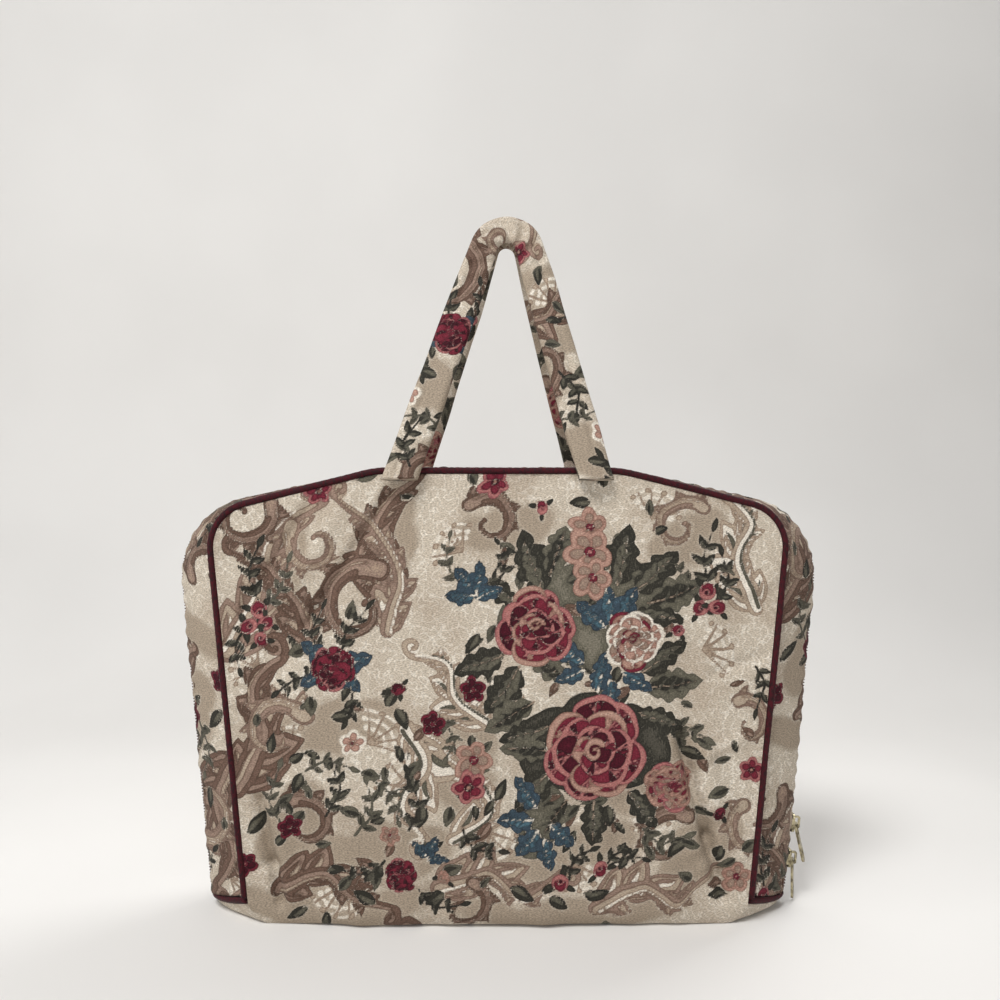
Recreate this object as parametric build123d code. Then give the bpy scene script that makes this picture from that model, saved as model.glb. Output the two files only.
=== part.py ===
"""Zipped tapestry toiletry bag with two strap handles.

The bag stands on its base. X runs across the front, -Y faces the front and Z is up.
The origin lies on the floor under the middle of the bag. Lengths are millimetres.
One folded sheet makes the front, the base and the back. A gusset of two strips, with the
zip between them, closes the sides and the top, and a piped seam joins it to that sheet.
"""

from build123d import *
import math
import os

# Front and back panels, measured along their piped seams
panel_base_width = 292.0
panel_corner_width = 339.0
panel_corner_height = 240.5
panel_height = 265.0
shoulder_width = 144.0
base_corner_radius = 14.0
panel_corner_radius = 25.0
shoulder_radius = 60.0
wall = 2.4
base_round = 13.0
belly = 9.0
seam_gap = 0.3
base_fullness_share = 0.75
full_height_share = 0.4

# Gusset: its depth from seam to seam, and how far its zip line stands out past the seams
gusset_depth = 60.0
base_flare = 31.0
corner_flare = 30.5
corner_rise = 1.0
top_rise = 4.0
zip_corner_radius = 50.0
gusset_end_height = 16.0
gusset_end_dip = 8.0

# Piped seams and the bound lower ends of the gusset
piping_diameter = 3.8
piping_proud = 1.2
piping_gap = 0.1
binding_height = 4.4
binding_proud = 0.9
binding_gap = 0.2

# Strap handles
strap_width = 20.0
strap_thickness = 6.5
strap_edge_radius = 3.0
handle_height = 425.0
handle_spread = 57.0
handle_apex_offset = 7.0
handle_top_radius = 14.0
handle_meeting_gap = 1.6
handle_seat_gap = 0.4
tab_height = 3.0
tab_corner_radius = 1.2

# Zip: a pair of tapes, a pair of tooth rows and the slot between the rows
zip_opening = 13.0
tape_width = 13.5
tape_thickness = 0.8
tape_gap = 0.15
teeth_width = 2.6
teeth_height = 2.2
teeth_slot = 1.2

# Zip sliders
slider_length = 11.0
slider_width = 9.4
slider_plate = 1.3
slider_flange = 0.9
slider_clearance = 0.3
slider_web = 0.7
slider_web_length = 4.0
slider_corner_radius = 2.2
bridge_length = 7.6
bridge_width = 1.5
bridge_bar = 1.1
lower_slider_height = 27.5
slider_spacing = 22.0

# Zip pulls
pull_length = 24.0
pull_top_width = 6.6
pull_end_width = 7.6
pull_thickness = 1.3
pull_end_radius = 3.4
pull_eye_width = 4.2
pull_eye_length = 6.4
pull_eye_radius = 0.8
pull_hole_width = 4.2
pull_hole_length = 7.0
pull_rim = 1.7
pull_twist_deg = 22.0
upper_pull_lean_deg = 12.5
lower_pull_lean_deg = 0.0
quarter_turn_deg = 90.0

# Soft creases of the panels, as shares of the corner half width and the height:
# start across, start up, end across, end up, then crest and width as shares of the belly
front_crease_shares = [
    (-0.42, 0.90, -0.82, 0.32, 0.40, 2.0),
    (0.66, 0.58, 0.80, 0.06, -0.50, 1.8),
    (-0.86, 0.44, -0.74, 0.04, -0.46, 1.8),
]
back_crease_shares = [
    (0.40, 0.88, 0.80, 0.30, 0.34, 2.0),
    (-0.72, 0.48, -0.80, 0.06, -0.42, 1.8),
]

# How finely the soft surfaces are divided
gusset_level_shares = (-1.0, -0.72, -0.38, 0.0, 0.38, 0.72, 1.0)
panel_stations = 11
panel_rows = 15
round_steps = 4
peak_steps = 30

# Overrun of every cut, and sizes that follow from the ones above
overrun = 40.0
half_depth = gusset_depth / 2
piping_radius = piping_diameter / 2
piping_forward = piping_radius + piping_gap
panel_half_span = max(panel_corner_width, panel_base_width) / 2 + wall
floor_width = panel_base_width - 2 * (base_corner_radius + wall)
panel_trim = piping_radius + piping_gap - piping_proud
end_radius = (half_depth**2 + gusset_end_dip**2) / (2 * gusset_end_dip)
end_centre_height = gusset_end_height - gusset_end_dip + end_radius
tape_inset = wall + tape_gap
reach = panel_corner_width + corner_flare + overrun
full_height = handle_height + overrun
pull_twist = math.radians(pull_twist_deg)
pull_bar_radius = pull_thickness / 2
plate_top = tape_gap + teeth_height + slider_clearance + slider_plate
pull_bar_height = (
    pull_top_width / 2 * math.sin(pull_twist)
    + pull_bar_radius * math.cos(pull_twist)
    + slider_clearance
)
bridge_room = (
    pull_bar_height
    + bridge_width / 2 * math.tan(pull_twist)
    + pull_bar_radius / math.cos(pull_twist)
    + slider_clearance
)
pull_bar_offset = bridge_length / 2 - bridge_bar - pull_bar_radius - slider_clearance


def clamp(value, low=0.0, high=1.0):
    """A value held between two limits."""
    return max(low, min(high, value))


def mix(first, second, share):
    """A value that share of the way from the first to the second."""
    return first + (second - first) * share


# Outlines of the bag in planes across its depth


def flare_share(y):
    """How much of the gusset's flare is reached at a depth: none at the seams, all at the zip."""
    return math.sin(math.pi / 2 * clamp(1 - abs(y) / half_depth))


def flare_slope(y):
    """How fast that share changes with depth."""
    return math.pi / 2 / half_depth * math.cos(math.pi / 2 * clamp(1 - abs(y) / half_depth))


def line_meeting(point_a, direction_a, point_b, direction_b):
    """Where two lines in a plane cross."""
    across = direction_a[0] * direction_b[1] - direction_a[1] * direction_b[0]
    gap = (point_b[0] - point_a[0], point_b[1] - point_a[1])
    along = (gap[0] * direction_b[1] - gap[1] * direction_b[0]) / across
    return point_a[0] + along * direction_a[0], point_a[1] + along * direction_a[1]


def moved_line(start, end, inset):
    """A line of the right half outline, moved towards the middle of the bag."""
    run, rise = end[0] - start[0], end[1] - start[1]
    length = math.hypot(run, rise)
    point = (start[0] - rise / length * inset, start[1] + run / length * inset)
    return point, (run / length, rise / length)


def half_outline(y, base_inset=0.0, side_inset=0.0, top_inset=0.0):
    """Base corner, upper corner and shoulder of the right half outline at a depth."""
    share = flare_share(y)
    middle = (0.0, 0.0)
    base = (panel_base_width / 2 + base_flare * share, 0.0)
    corner = (
        panel_corner_width / 2 + corner_flare * share,
        panel_corner_height + corner_rise * share,
    )
    shoulder = (shoulder_width / 2, panel_height + top_rise * share)
    crown = (0.0, shoulder[1])
    floor = moved_line(middle, base, base_inset)
    side = moved_line(base, corner, side_inset)
    slope = moved_line(corner, shoulder, top_inset)
    top = moved_line(shoulder, crown, top_inset)
    return (
        line_meeting(*floor, *side),
        line_meeting(*side, *slope),
        line_meeting(*slope, *top),
    )


def outline_plane(y):
    """The plane across the bag at a depth, with X across and Z up."""
    return Plane(origin=(0, y, 0), x_dir=(1, 0, 0), z_dir=(0, -1, 0))


def closed_outline(y, insets, corner_radius):
    """The filled outline at a depth, drawn in by its base, side and top insets."""
    base_inset, side_inset, top_inset = insets
    right = half_outline(y, base_inset, side_inset, top_inset)
    left = [(-x, z) for x, z in reversed(right)]
    radii = [base_corner_radius - base_inset, corner_radius - side_inset, shoulder_radius - top_inset]
    line = FilletPolyline(*right, *left, radius=radii + radii[::-1], close=True)
    return (outline_plane(y) * make_face(line)).face()


def gusset_section(y, inset):
    """The gusset's outline at a depth, thinned by an inset square to its surface."""
    slope = flare_slope(y)
    side_inset = inset * math.hypot(1, corner_flare * slope)
    top_inset = inset * math.hypot(1, top_rise * slope)
    corner_radius = mix(panel_corner_radius, zip_corner_radius, flare_share(y))
    return closed_outline(y, (inset, side_inset, top_inset), corner_radius)


def gusset_block(inset=0.0):
    """The whole bag between its two seams as one block, thinned all round by an inset."""
    return loft([gusset_section(half_depth * share, inset) for share in gusset_level_shares])


def depth_slab(front, back):
    """All space between two depths."""
    sheet = outline_plane((front + back) / 2) * Rectangle(2 * reach, 2 * full_height)
    return extrude(sheet, amount=(back - front) / 2, both=True)


def end_scoop(radius):
    """All space above the dipped line where the gusset's ends are bound, at a chosen radius."""
    disc = Pos(0, end_centre_height) * Circle(radius)
    above = Pos(0, end_centre_height + full_height / 2) * Rectangle(2 * radius, full_height)
    return extrude(Plane.YZ * (disc + above), amount=reach, both=True)


def side_half(side):
    """All space on the right of the bag, or on the left where side is -1."""
    return Pos(side * reach / 2, 0, full_height / 2) * Box(reach, 2 * reach, 2 * full_height)


def in_back(part):
    """The same piece on the back of the bag."""
    return mirror(part, about=Plane.XZ)


# Front and back panels


def seam_half_width(z):
    """Half the width between the piped side seams at a height."""
    return mix(panel_base_width, panel_corner_width, z / panel_corner_height) / 2


def seam_top(x):
    """Height of the piped top seam above a place across the bag."""
    run = (panel_corner_width - shoulder_width) / 2
    down = clamp((abs(x) - shoulder_width / 2) / run)
    return mix(panel_height, panel_corner_height, down)


def crease(x, z, shares):
    """How far the creases lift the cloth at a place on a panel."""
    lift = 0.0
    for start_x, start_z, end_x, end_z, crest, width in shares:
        ax, az = start_x * panel_corner_width / 2, start_z * panel_height
        bx, bz = end_x * panel_corner_width / 2, end_z * panel_height
        length_squared = (bx - ax) ** 2 + (bz - az) ** 2
        along = clamp(((x - ax) * (bx - ax) + (z - az) * (bz - az)) / length_squared)
        away = math.hypot(x - mix(ax, bx, along), z - mix(az, bz, along))
        lift += crest * belly * math.exp(-((away / (width * belly)) ** 2))
    return lift


def panel_swell(x, z, shares):
    """How far a panel's outer face stands out from its seam plane."""
    across = clamp(abs(x) / seam_half_width(z))
    up = clamp((z - base_round) / (seam_top(x) - base_round))
    side_fall = 1 - 3 * across**4 + 2 * across**6
    top_fall = 1 - 3 * up**6 + 2 * up**9
    rise = math.sin(math.pi / 2 * clamp(up / full_height_share))
    fill = belly * mix(base_fullness_share, 1, rise) + crease(x, z, shares)
    return wall + seam_gap + side_fall * top_fall * fill


def panel_section(x, shares):
    """The panel's cut across at one place: in from the base, round its edge and up to the top."""
    outer, inner = [], []
    foot = panel_swell(x, base_round, shares)
    for step in range(round_steps):
        turn = math.pi / 2 * step / round_steps
        up, out = 1 - math.cos(turn), math.sin(turn)
        outer.append((x, -half_depth - foot * out, base_round * up))
        inner.append((x, -half_depth - (foot - wall) * out, wall + (base_round - wall) * up))
    for row in range(panel_rows + 1):
        z = mix(base_round, panel_height + wall, row / panel_rows)
        swell = panel_swell(x, z, shares)
        outer.append((x, -half_depth - swell, z))
        inner.append((x, -half_depth - swell + wall, z))
    edges = [
        Spline(*outer),
        Line(outer[-1], inner[-1]),
        Spline(*reversed(inner)),
        Line(inner[0], outer[0]),
    ]
    return Face(Wire(edges))


def panel(shares):
    """A front panel from the base's edge to the top, trimmed to lie inside its piping."""
    stations = range(-panel_stations, panel_stations + 1)
    places = [panel_half_span * station / panel_stations for station in stations]
    sheet = loft([panel_section(x, shares) for x in places])
    trim = closed_outline(-half_depth, (0.0, panel_trim, panel_trim), panel_corner_radius)
    return sheet & extrude(trim, amount=2 * overrun, both=True)


def body_panel(shell):
    """The one sheet of cloth that makes the front, the base and the back."""
    floor = Pos(0, 0, wall / 2) * Box(floor_width, gusset_depth, wall)
    floor_room = Box(floor_width, gusset_depth + overrun, overrun)
    base = shell - end_scoop(end_radius + binding_height) - floor_room + floor
    return panel(front_crease_shares) + base + in_back(panel(back_crease_shares))


# Seams


def piping():
    """The round cord in the front seam, from its right end over the top to its left end."""
    base, corner, shoulder = half_outline(half_depth, 0.0, -piping_proud, -piping_proud)
    rise = (gusset_end_height + binding_gap) / corner[1]
    foot = (mix(base[0], corner[0], rise), mix(base[1], corner[1], rise))
    right = [foot, corner, shoulder]
    left = [(-x, z) for x, z in reversed(right)]
    radii = [panel_corner_radius + piping_proud, shoulder_radius + piping_proud]
    line = FilletPolyline(*right, *left, radius=radii + radii[::-1])
    path = outline_plane(-half_depth - piping_forward) * line
    return sweep(Plane(origin=path @ 0, z_dir=path % 0) * Circle(piping_radius), path=path)


def end_binding(side):
    """The strip that binds the gusset's lower end on one side."""
    band = gusset_block(-binding_proud) - gusset_block(wall + binding_proud)
    lower = end_scoop(end_radius + binding_height - binding_gap)
    upper = end_scoop(end_radius + binding_gap)
    return band & lower & side_half(side) - upper


# Handles


def front_handle():
    """One padded strap: up one leg, round the top and down the other, with its sewn ends."""
    face = half_depth + piping_forward + piping_radius + handle_seat_gap
    seat = face + strap_thickness / 2
    seat_height = panel_height + piping_proud + piping_radius
    tab_top = panel_height + piping_proud - piping_radius - handle_seat_gap
    meeting = (strap_thickness + handle_meeting_gap) / 2
    lean = math.atan2(seat - meeting, handle_height - seat_height)
    plane = Plane(
        origin=(0, -seat, seat_height),
        x_dir=(1, 0, 0),
        z_dir=(0, -math.cos(lean), math.sin(lean)),
    )
    foot = -(seat_height - tab_top + tab_height) / math.cos(lean)
    crown = (handle_height - seat_height) / math.cos(lean) - strap_width / 2
    peak = crown
    for _ in range(peak_steps):
        half_angle = math.atan2(handle_spread, peak - foot)
        peak = crown + handle_top_radius * (1 / math.sin(half_angle) - 1)
    corners = [(-handle_spread, foot), (handle_apex_offset, peak), (handle_spread, foot)]
    path = plane * FilletPolyline(*corners, radius=handle_top_radius)
    section = RectangleRounded(strap_thickness, strap_width, strap_edge_radius)
    strap = sweep(Plane(origin=path @ 0, x_dir=plane.z_dir, z_dir=path % 0) * section, path=path)
    back = half_depth + wall + seam_gap + handle_seat_gap
    tab = extrude(
        RectangleRounded(strap_width, tab_height, tab_corner_radius), amount=seat - back
    )
    middle = tab_top - tab_height / 2
    for side in (-1, 1):
        strap += outline_plane(-back) * Pos(side * handle_spread, middle) * tab
    return strap


# Zip


def zip_band(outer, inner, near, far):
    """A band of the gusset between two blocks and two depths, ending at the bound ends."""
    return (outer - inner) & depth_slab(near, far) & end_scoop(end_radius)


def chain_plane(height):
    """A plane on the zip's straight right side: X up along the chain, Z out of the bag."""
    base, corner, _ = half_outline(0.0, 0.0, tape_inset, 0.0)
    run = Vector(corner[0] - base[0], 0, corner[1] - base[1]).normalized()
    share = (height - base[1]) / (corner[1] - base[1])
    origin = (mix(base[0], corner[0], share), 0, height)
    return Plane(origin=origin, x_dir=run, z_dir=(run.Z, 0, -run.X))


def slider(height):
    """A zip slider: two plates joined by a web in the slot, side flanges and a bridge."""
    plate_low = plate_top - slider_plate
    curve_drop = corner_flare * (1 - flare_share(slider_width / 2))
    under_top = -tape_thickness - slider_clearance - curve_drop
    plate = extrude(
        RectangleRounded(slider_length, slider_width, slider_corner_radius), amount=slider_plate
    )
    metal = Pos(0, 0, plate_low) * plate + Pos(0, 0, under_top - slider_plate) * plate
    web_place = (slider_length - slider_web_length) / 2 - slider_corner_radius
    web = Box(slider_web_length, slider_web, plate_low - under_top)
    metal += Pos(web_place, 0, (plate_low + under_top) / 2) * web
    flange = Box(slider_length - 2 * slider_corner_radius, slider_flange, plate_low - slider_clearance)
    for side in (-1, 1):
        place = side * (slider_width - slider_flange) / 2
        metal += Pos(0, place, (plate_low + slider_clearance) / 2) * flange
    bridge = Pos(0, 0, (bridge_room + bridge_bar) / 2) * Box(
        bridge_length, bridge_width, bridge_room + bridge_bar
    )
    top_edges = bridge.edges().filter_by(Axis.Y).group_by(Axis.Z)[-1]
    bridge = fillet(top_edges, bridge_bar)
    bridge -= Pos(0, 0, bridge_room / 2) * Box(bridge_length - 2 * bridge_bar, overrun, bridge_room)
    return chain_plane(height) * (metal + Pos(0, 0, plate_top) * bridge)


def pull_plane(height, lean_deg):
    """The plane of a hanging pull, with its origin on the bar and its X along the bar."""
    lean = math.radians(lean_deg)
    bar = chain_plane(height) * Pos(-pull_bar_offset, 0, plate_top + pull_bar_height)
    out = Vector(math.cos(lean), 0, math.sin(lean))
    across = Vector(0, 1, 0)
    along = across * math.cos(pull_twist) + out * math.sin(pull_twist)
    normal = out * math.cos(pull_twist) - across * math.sin(pull_twist)
    return Plane(origin=bar.position, x_dir=along, z_dir=normal)


def pull(height, lean_deg):
    """A flat pull hung on a round bar, with an eye for the bridge and an oval hole at its end."""
    end = pull_bar_radius - pull_length
    corners = [
        (pull_top_width / 2, 0),
        (-pull_top_width / 2, 0),
        (-pull_end_width / 2, end),
        (pull_end_width / 2, end),
    ]
    radii = [0, 0, pull_end_radius, pull_end_radius]
    blade = make_face(FilletPolyline(*corners, radius=radii, close=True))
    eye = RectangleRounded(pull_eye_width, 2 * pull_eye_length, pull_eye_radius)
    hole = SlotOverall(pull_hole_length, pull_hole_width, rotation=quarter_turn_deg)
    blade -= eye + Pos(0, end + pull_rim + pull_hole_length / 2) * hole
    bar = Rot(0, quarter_turn_deg, 0) * Cylinder(pull_bar_radius, pull_top_width)
    body = extrude(blade, amount=pull_bar_radius, both=True) + bar
    return pull_plane(height, lean_deg) * body


def main():
    """Builds every piece and writes it to its own file."""
    outer, inner = gusset_block(), gusset_block(wall)
    strip = zip_band(outer, inner, -half_depth, -zip_opening / 2)
    tape = zip_band(
        gusset_block(tape_inset),
        gusset_block(tape_inset + tape_thickness),
        -tape_width,
        -teeth_slot / 2,
    )
    teeth = zip_band(
        gusset_block(wall - teeth_height),
        inner,
        -teeth_slot / 2 - teeth_width,
        -teeth_slot / 2,
    )
    cord = piping()
    handle = front_handle()
    upper_slider_height = lower_slider_height + slider_spacing * chain_plane(0.0).x_dir.Z
    pieces = {
        "body_panel": body_panel(outer - inner),
        "front_gusset_strip": strip,
        "rear_gusset_strip": in_back(strip),
        "front_zip_tape": tape,
        "rear_zip_tape": in_back(tape),
        "front_zip_teeth": teeth,
        "rear_zip_teeth": in_back(teeth),
        "front_piping": cord,
        "rear_piping": in_back(cord),
        "left_end_binding": end_binding(-1),
        "right_end_binding": end_binding(1),
        "front_handle": handle,
        "rear_handle": in_back(handle),
        "upper_slider": slider(upper_slider_height),
        "lower_slider": slider(lower_slider_height),
        "upper_pull": pull(upper_slider_height, upper_pull_lean_deg),
        "lower_pull": pull(lower_slider_height, lower_pull_lean_deg),
    }
    os.makedirs("parts", exist_ok=True)
    for name, piece in pieces.items():
        export_step(piece, f"parts/{name}.step")


main()
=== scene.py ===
"""Finished look of the zipped tapestry toiletry bag.

The cloth pieces are drawn again as fine grids on the outlines of the solids, with folds,
puckered seams and a woven flower pattern. The pattern is drawn on the flat cloth: each yarn
has a field that holds the distance in from the edge of its patches, and the material turns
those fields into colour with ragged thread edges.
X runs across the front, -Y faces the front and Z is up. Lengths are millimetres.
"""

import itertools
import math

import bpy
import numpy as np
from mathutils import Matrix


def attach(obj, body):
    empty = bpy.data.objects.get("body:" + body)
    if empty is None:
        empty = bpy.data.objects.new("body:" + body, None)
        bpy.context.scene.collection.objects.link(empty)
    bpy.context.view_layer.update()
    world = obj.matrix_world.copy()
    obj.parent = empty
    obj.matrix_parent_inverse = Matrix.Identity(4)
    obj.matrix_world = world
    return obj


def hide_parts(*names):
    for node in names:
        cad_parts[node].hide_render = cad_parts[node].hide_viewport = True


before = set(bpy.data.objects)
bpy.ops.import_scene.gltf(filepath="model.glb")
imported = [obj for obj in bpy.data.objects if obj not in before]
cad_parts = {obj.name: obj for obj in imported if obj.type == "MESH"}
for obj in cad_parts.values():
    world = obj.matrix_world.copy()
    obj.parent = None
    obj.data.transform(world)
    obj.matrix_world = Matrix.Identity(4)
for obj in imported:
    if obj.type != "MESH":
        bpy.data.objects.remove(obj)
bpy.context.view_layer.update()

MM = 0.001
both_sides = (("front", 1), ("rear", -1))

# Panels, gusset and seams, as in the solids
panel_base_width = 292.0
panel_corner_width = 339.0
panel_corner_height = 240.5
panel_height = 265.0
shoulder_width = 144.0
base_corner_radius = 14.0
panel_corner_radius = 25.0
shoulder_radius = 60.0
wall = 2.4
base_round = 13.0
belly = 9.0
seam_gap = 0.3
base_fullness_share = 0.75
full_height_share = 0.4
gusset_depth = 60.0
base_flare = 31.0
corner_flare = 30.5
corner_rise = 1.0
top_rise = 4.0
zip_corner_radius = 50.0
gusset_end_height = 16.0
gusset_end_dip = 8.0
piping_diameter = 3.8
piping_proud = 1.2
piping_gap = 0.1
binding_height = 4.4
binding_proud = 0.9
binding_gap = 0.2

# Handles and zip, as in the solids
strap_width = 20.0
strap_thickness = 6.5
handle_height = 425.0
handle_spread = 57.0
handle_apex_offset = 7.0
handle_top_radius = 14.0
handle_meeting_gap = 1.6
handle_seat_gap = 0.4
tab_height = 3.0
zip_opening = 13.0
tape_width = 13.5
tape_gap = 0.15
teeth_width = 2.6
teeth_height = 2.2
teeth_slot = 1.2

# How finely the cloth is divided
half_columns = 117
front_rows = 204
back_rows = 172
base_rows = 17
round_rows = 9
arc_steps = 24
strip_columns = 560
strip_rows = 25
tube_columns = 420
tube_sides = 12
handle_columns = 360
handle_sides = 48
ring_steps = 721
binding_rows = 31
binding_columns = 9
tape_rows = 6
peak_steps = 30

# Small cloth relief: hems, puckers along seams and slack between them
hem = 1.2
pucker_pitch = 9.5
pucker_reach = 7.0
pucker_height = 0.55
pucker_stray = 4.0
pucker_cell = 23.0
slack_cell = 42.0
slack_height = 0.8
ripple_cell = 15.0
ripple_height = 0.35
strip_pucker_height = 0.7
strip_pucker_stray = 3.0
strip_pucker_cell = 17.0
strip_noise_shift = 900.0
fold_hold = 5.0
floor_clearance = 0.05

# Straps: their rounded section, the gathered top, the long crease and the level feet
strap_edge_power = 0.55
strap_face_power = 0.7
strap_gather_share = 0.13
strap_pinch_share = 0.17
strap_sway_share = 0.04
strap_sway_cell = 24.0
strap_ripple_cell = 13.0
strap_ripple_height = 0.65
strap_bunch_pitch = 11.0
strap_bunch_slant = 0.45
strap_bunch_height = 1.2
strap_crease_share = 0.34
strap_crease_half_share = 0.13
strap_crease_least_share = 0.6
strap_crease_depth = 1.5
strap_crease_pitch = 90.0
strap_relief_limit = 0.8
strap_noise_width = 14.0
strap_noise_depth = 9.0
strap_noise_shift = 70.0
level_reach = 30.0

# Piping cord and zip teeth
cord_wave = 0.25
cord_wave_pitch = 21.0
cord_rib_share = 0.05
cord_noise_shift = 50.0
tooth_pitch = 1.8
tooth_length = 0.88
tooth_mesh = 0.5
tooth_taper_share = 0.3

# Noise: its table and the seeds of its uses
noise_size = 4096
noise_strides = (1, 57, 131)
pucker_seed, slack_seed, ripple_seed, strip_ripple_seed, strip_pucker_seed = range(5, 10)
cord_sway_seed, cord_depth_seed, strap_ripple_seed = range(10, 13)
sway_seeds = (13, 14)
stray_seeds = (15, 16)
strap_sway_seed = 15

# Folds of the panels: start across, start up, end across, end up, height and half width.
# The broad ones are in the solids too, and the sharper ones are pressed into the cloth here.
front_creases = (
    (-71, 238, -139, 85, 3.6, 18),
    (112, 154, 136, 16, -4.5, 16),
    (-146, 117, -125, 11, -4.1, 16),
)
back_creases = (
    (68, 233, 136, 80, 3.1, 18),
    (-122, 127, -136, 16, -3.8, 16),
)
front_folds = (
    (-64, 252, -112, 176, -4.2, 3.4),
    (-90, 246, -152, 146, 2.2, 7),
    (-112, 244, -150, 184, -2.6, 3.2),
    (-166, 206, -130, 190, 1.6, 4),
    (-164, 170, -124, 157, -1.8, 4),
    (-161, 134, -122, 118, 1.8, 4.5),
    (-157, 94, -120, 85, 1.6, 4),
    (-140, 74, -127, 14, -6.0, 3.2),
    (-131, 70, -119, 16, 3.0, 7),
    (-152, 30, -130, 36, -2.0, 4),
    (106, 112, 122, 52, -5.5, 3.2),
    (122, 52, 132, 16, -6.0, 3.4),
    (97, 110, 114, 46, 3.0, 7),
    (120, 104, 131, 50, 2.4, 6),
    (-92, 66, -80, 9, 1.8, 8),
    (-34, 56, -38, 8, -1.6, 7),
    (18, 60, 27, 8, 1.6, 8),
    (70, 56, 65, 10, -1.6, 6),
    (94, 66, 104, 12, 1.8, 7),
    (-112, 76, -18, 57, 1.6, 8),
    (8, 63, 98, 78, -1.6, 7),
    (59, 258, 86, 182, -1.8, 6),
    (74, 256, 126, 172, 1.9, 8),
    (-20, 256, -32, 198, 1.3, 9),
    (20, 258, 30, 210, -1.0, 8),
    (166, 204, 132, 190, 1.8, 4),
    (163, 160, 126, 147, -1.8, 4),
    (160, 116, 122, 101, 1.8, 4),
    (152, 70, 124, 58, -1.6, 4),
    (150, 42, 120, 35, 2.0, 4),
    (-20, 152, 44, 128, 1.0, 10),
)
back_folds = (
    (60, 254, 98, 165, -1.8, 6),
    (-58, 254, -92, 176, 1.8, 7),
    (30, 60, 24, 8, 1.6, 8),
    (-60, 56, -66, 9, -1.6, 7),
    (100, 60, 110, 10, 1.8, 7),
    (164, 150, 128, 140, 1.8, 4),
    (-164, 178, -128, 166, 1.8, 4),
    (-160, 110, -124, 98, -1.8, 4),
    (-143, 60, -130, 12, -3.4, 5.5),
)

# Sizes that follow from the ones above
half_depth = gusset_depth / 2
piping_radius = piping_diameter / 2
piping_forward = piping_radius + piping_gap
panel_trim = piping_radius + piping_gap - piping_proud
end_radius = (half_depth**2 + gusset_end_dip**2) / (2 * gusset_end_dip)
end_centre_height = gusset_end_height - gusset_end_dip + end_radius


def mix(first, second, share):
    """A value that share of the way from the first to the second."""
    return first + (second - first) * share


def unit(vector):
    """A vector, or rows of vectors, at length one."""
    return vector / np.linalg.norm(vector, axis=-1, keepdims=True)


def right_of(ways):
    """Directions in a plane, each turned a quarter turn to the right."""
    return np.column_stack((ways[:, 1], -ways[:, 0]))


def at_depth(line, y):
    """A line in a plane across the bag, as points at a depth."""
    return np.column_stack((line[:, 0], np.full(len(line), y), line[:, 1]))


def in_back(points, sign):
    """Points of the front half, moved to the back where the sign is -1."""
    return points * (1, sign, 1)


def value_noise(points, cell, seed):
    """Smooth seeded noise from -1 to 1 at rows of points, with cells of a size."""
    table = np.random.default_rng(seed).uniform(-1, 1, noise_size)
    strides = np.array(noise_strides)[: points.shape[-1]]
    whole = np.floor(points / cell).astype(int)
    part = points / cell - whole
    part = part * part * (3 - 2 * part)
    total = np.zeros(points.shape[:-1])
    for corner in itertools.product((0, 1), repeat=points.shape[-1]):
        weight = np.prod(np.where(corner, part, 1 - part), axis=-1)
        total += weight * table[(whole + corner) @ strides % len(table)]
    return total


# Outlines of the bag in planes across its depth


def flare_share(y):
    """How much of the gusset's flare is reached at a depth: none at the seams, all at the zip."""
    return math.sin(math.pi / 2 * max(0.0, 1 - abs(y) / half_depth))


def flare_slope(y):
    """How fast that share changes with depth."""
    return math.pi / 2 / half_depth * math.cos(math.pi / 2 * max(0.0, 1 - abs(y) / half_depth))


def surface_outs(y, out):
    """How far the floor, side and top lines move when the gusset's surface moves out."""
    slope = flare_slope(y)
    return out, out * math.hypot(1, corner_flare * slope), out * math.hypot(1, top_rise * slope)


def corner_arc(before, corner, after, radius):
    """A rounded corner between two lines, as points along its arc."""
    first, second = unit(before - corner), unit(after - corner)
    half_angle = math.acos(first @ second) / 2
    centre = corner + unit(first + second) * radius / math.sin(half_angle)
    start = corner + first * radius / math.tan(half_angle) - centre
    end = corner + second * radius / math.tan(half_angle) - centre
    sweep = math.pi - 2 * half_angle
    aside = (end - start * math.cos(sweep)) / math.sin(sweep)
    turn = np.linspace(0, sweep, arc_steps + 1)[:, None]
    return centre + start * np.cos(turn) + aside * np.sin(turn)


def line_meeting(point_a, run_a, point_b, run_b):
    """Where two lines in a plane cross."""
    across = run_a[0] * run_b[1] - run_a[1] * run_b[0]
    gap = point_b - point_a
    return point_a + run_a * (gap[0] * run_b[1] - gap[1] * run_b[0]) / across


def half_outline(y, outs):
    """The right half outline at a depth: floor middle, three rounded corners and top middle."""
    share = flare_share(y)
    top = panel_height + top_rise * share
    points = np.array(
        (
            (0, 0),
            (panel_base_width / 2 + base_flare * share, 0),
            (panel_corner_width / 2 + corner_flare * share, panel_corner_height + corner_rise * share),
            (shoulder_width / 2, top),
            (0, top),
        )
    )
    moves = np.array((outs[0], outs[1], outs[2], outs[2]))
    runs = unit(np.diff(points, axis=0))
    starts = points[:-1] + right_of(runs) * moves[:, None]
    sharp = [np.array((0, starts[0][1]))]
    for index in range(len(runs) - 1):
        sharp.append(line_meeting(starts[index], runs[index], starts[index + 1], runs[index + 1]))
    sharp.append(np.array((0, starts[-1][1])))
    radii = (
        base_corner_radius + outs[0],
        mix(panel_corner_radius, zip_corner_radius, share) + outs[1],
        shoulder_radius + outs[2],
    )
    arcs = [corner_arc(*sharp[i : i + 3], radius) for i, radius in enumerate(radii)]
    return sharp[0], arcs, sharp[-1]


def half_line(y, outs):
    """That half outline as one line of points."""
    floor, arcs, crown = half_outline(y, outs)
    return np.vstack((floor, *arcs, crown))


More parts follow.
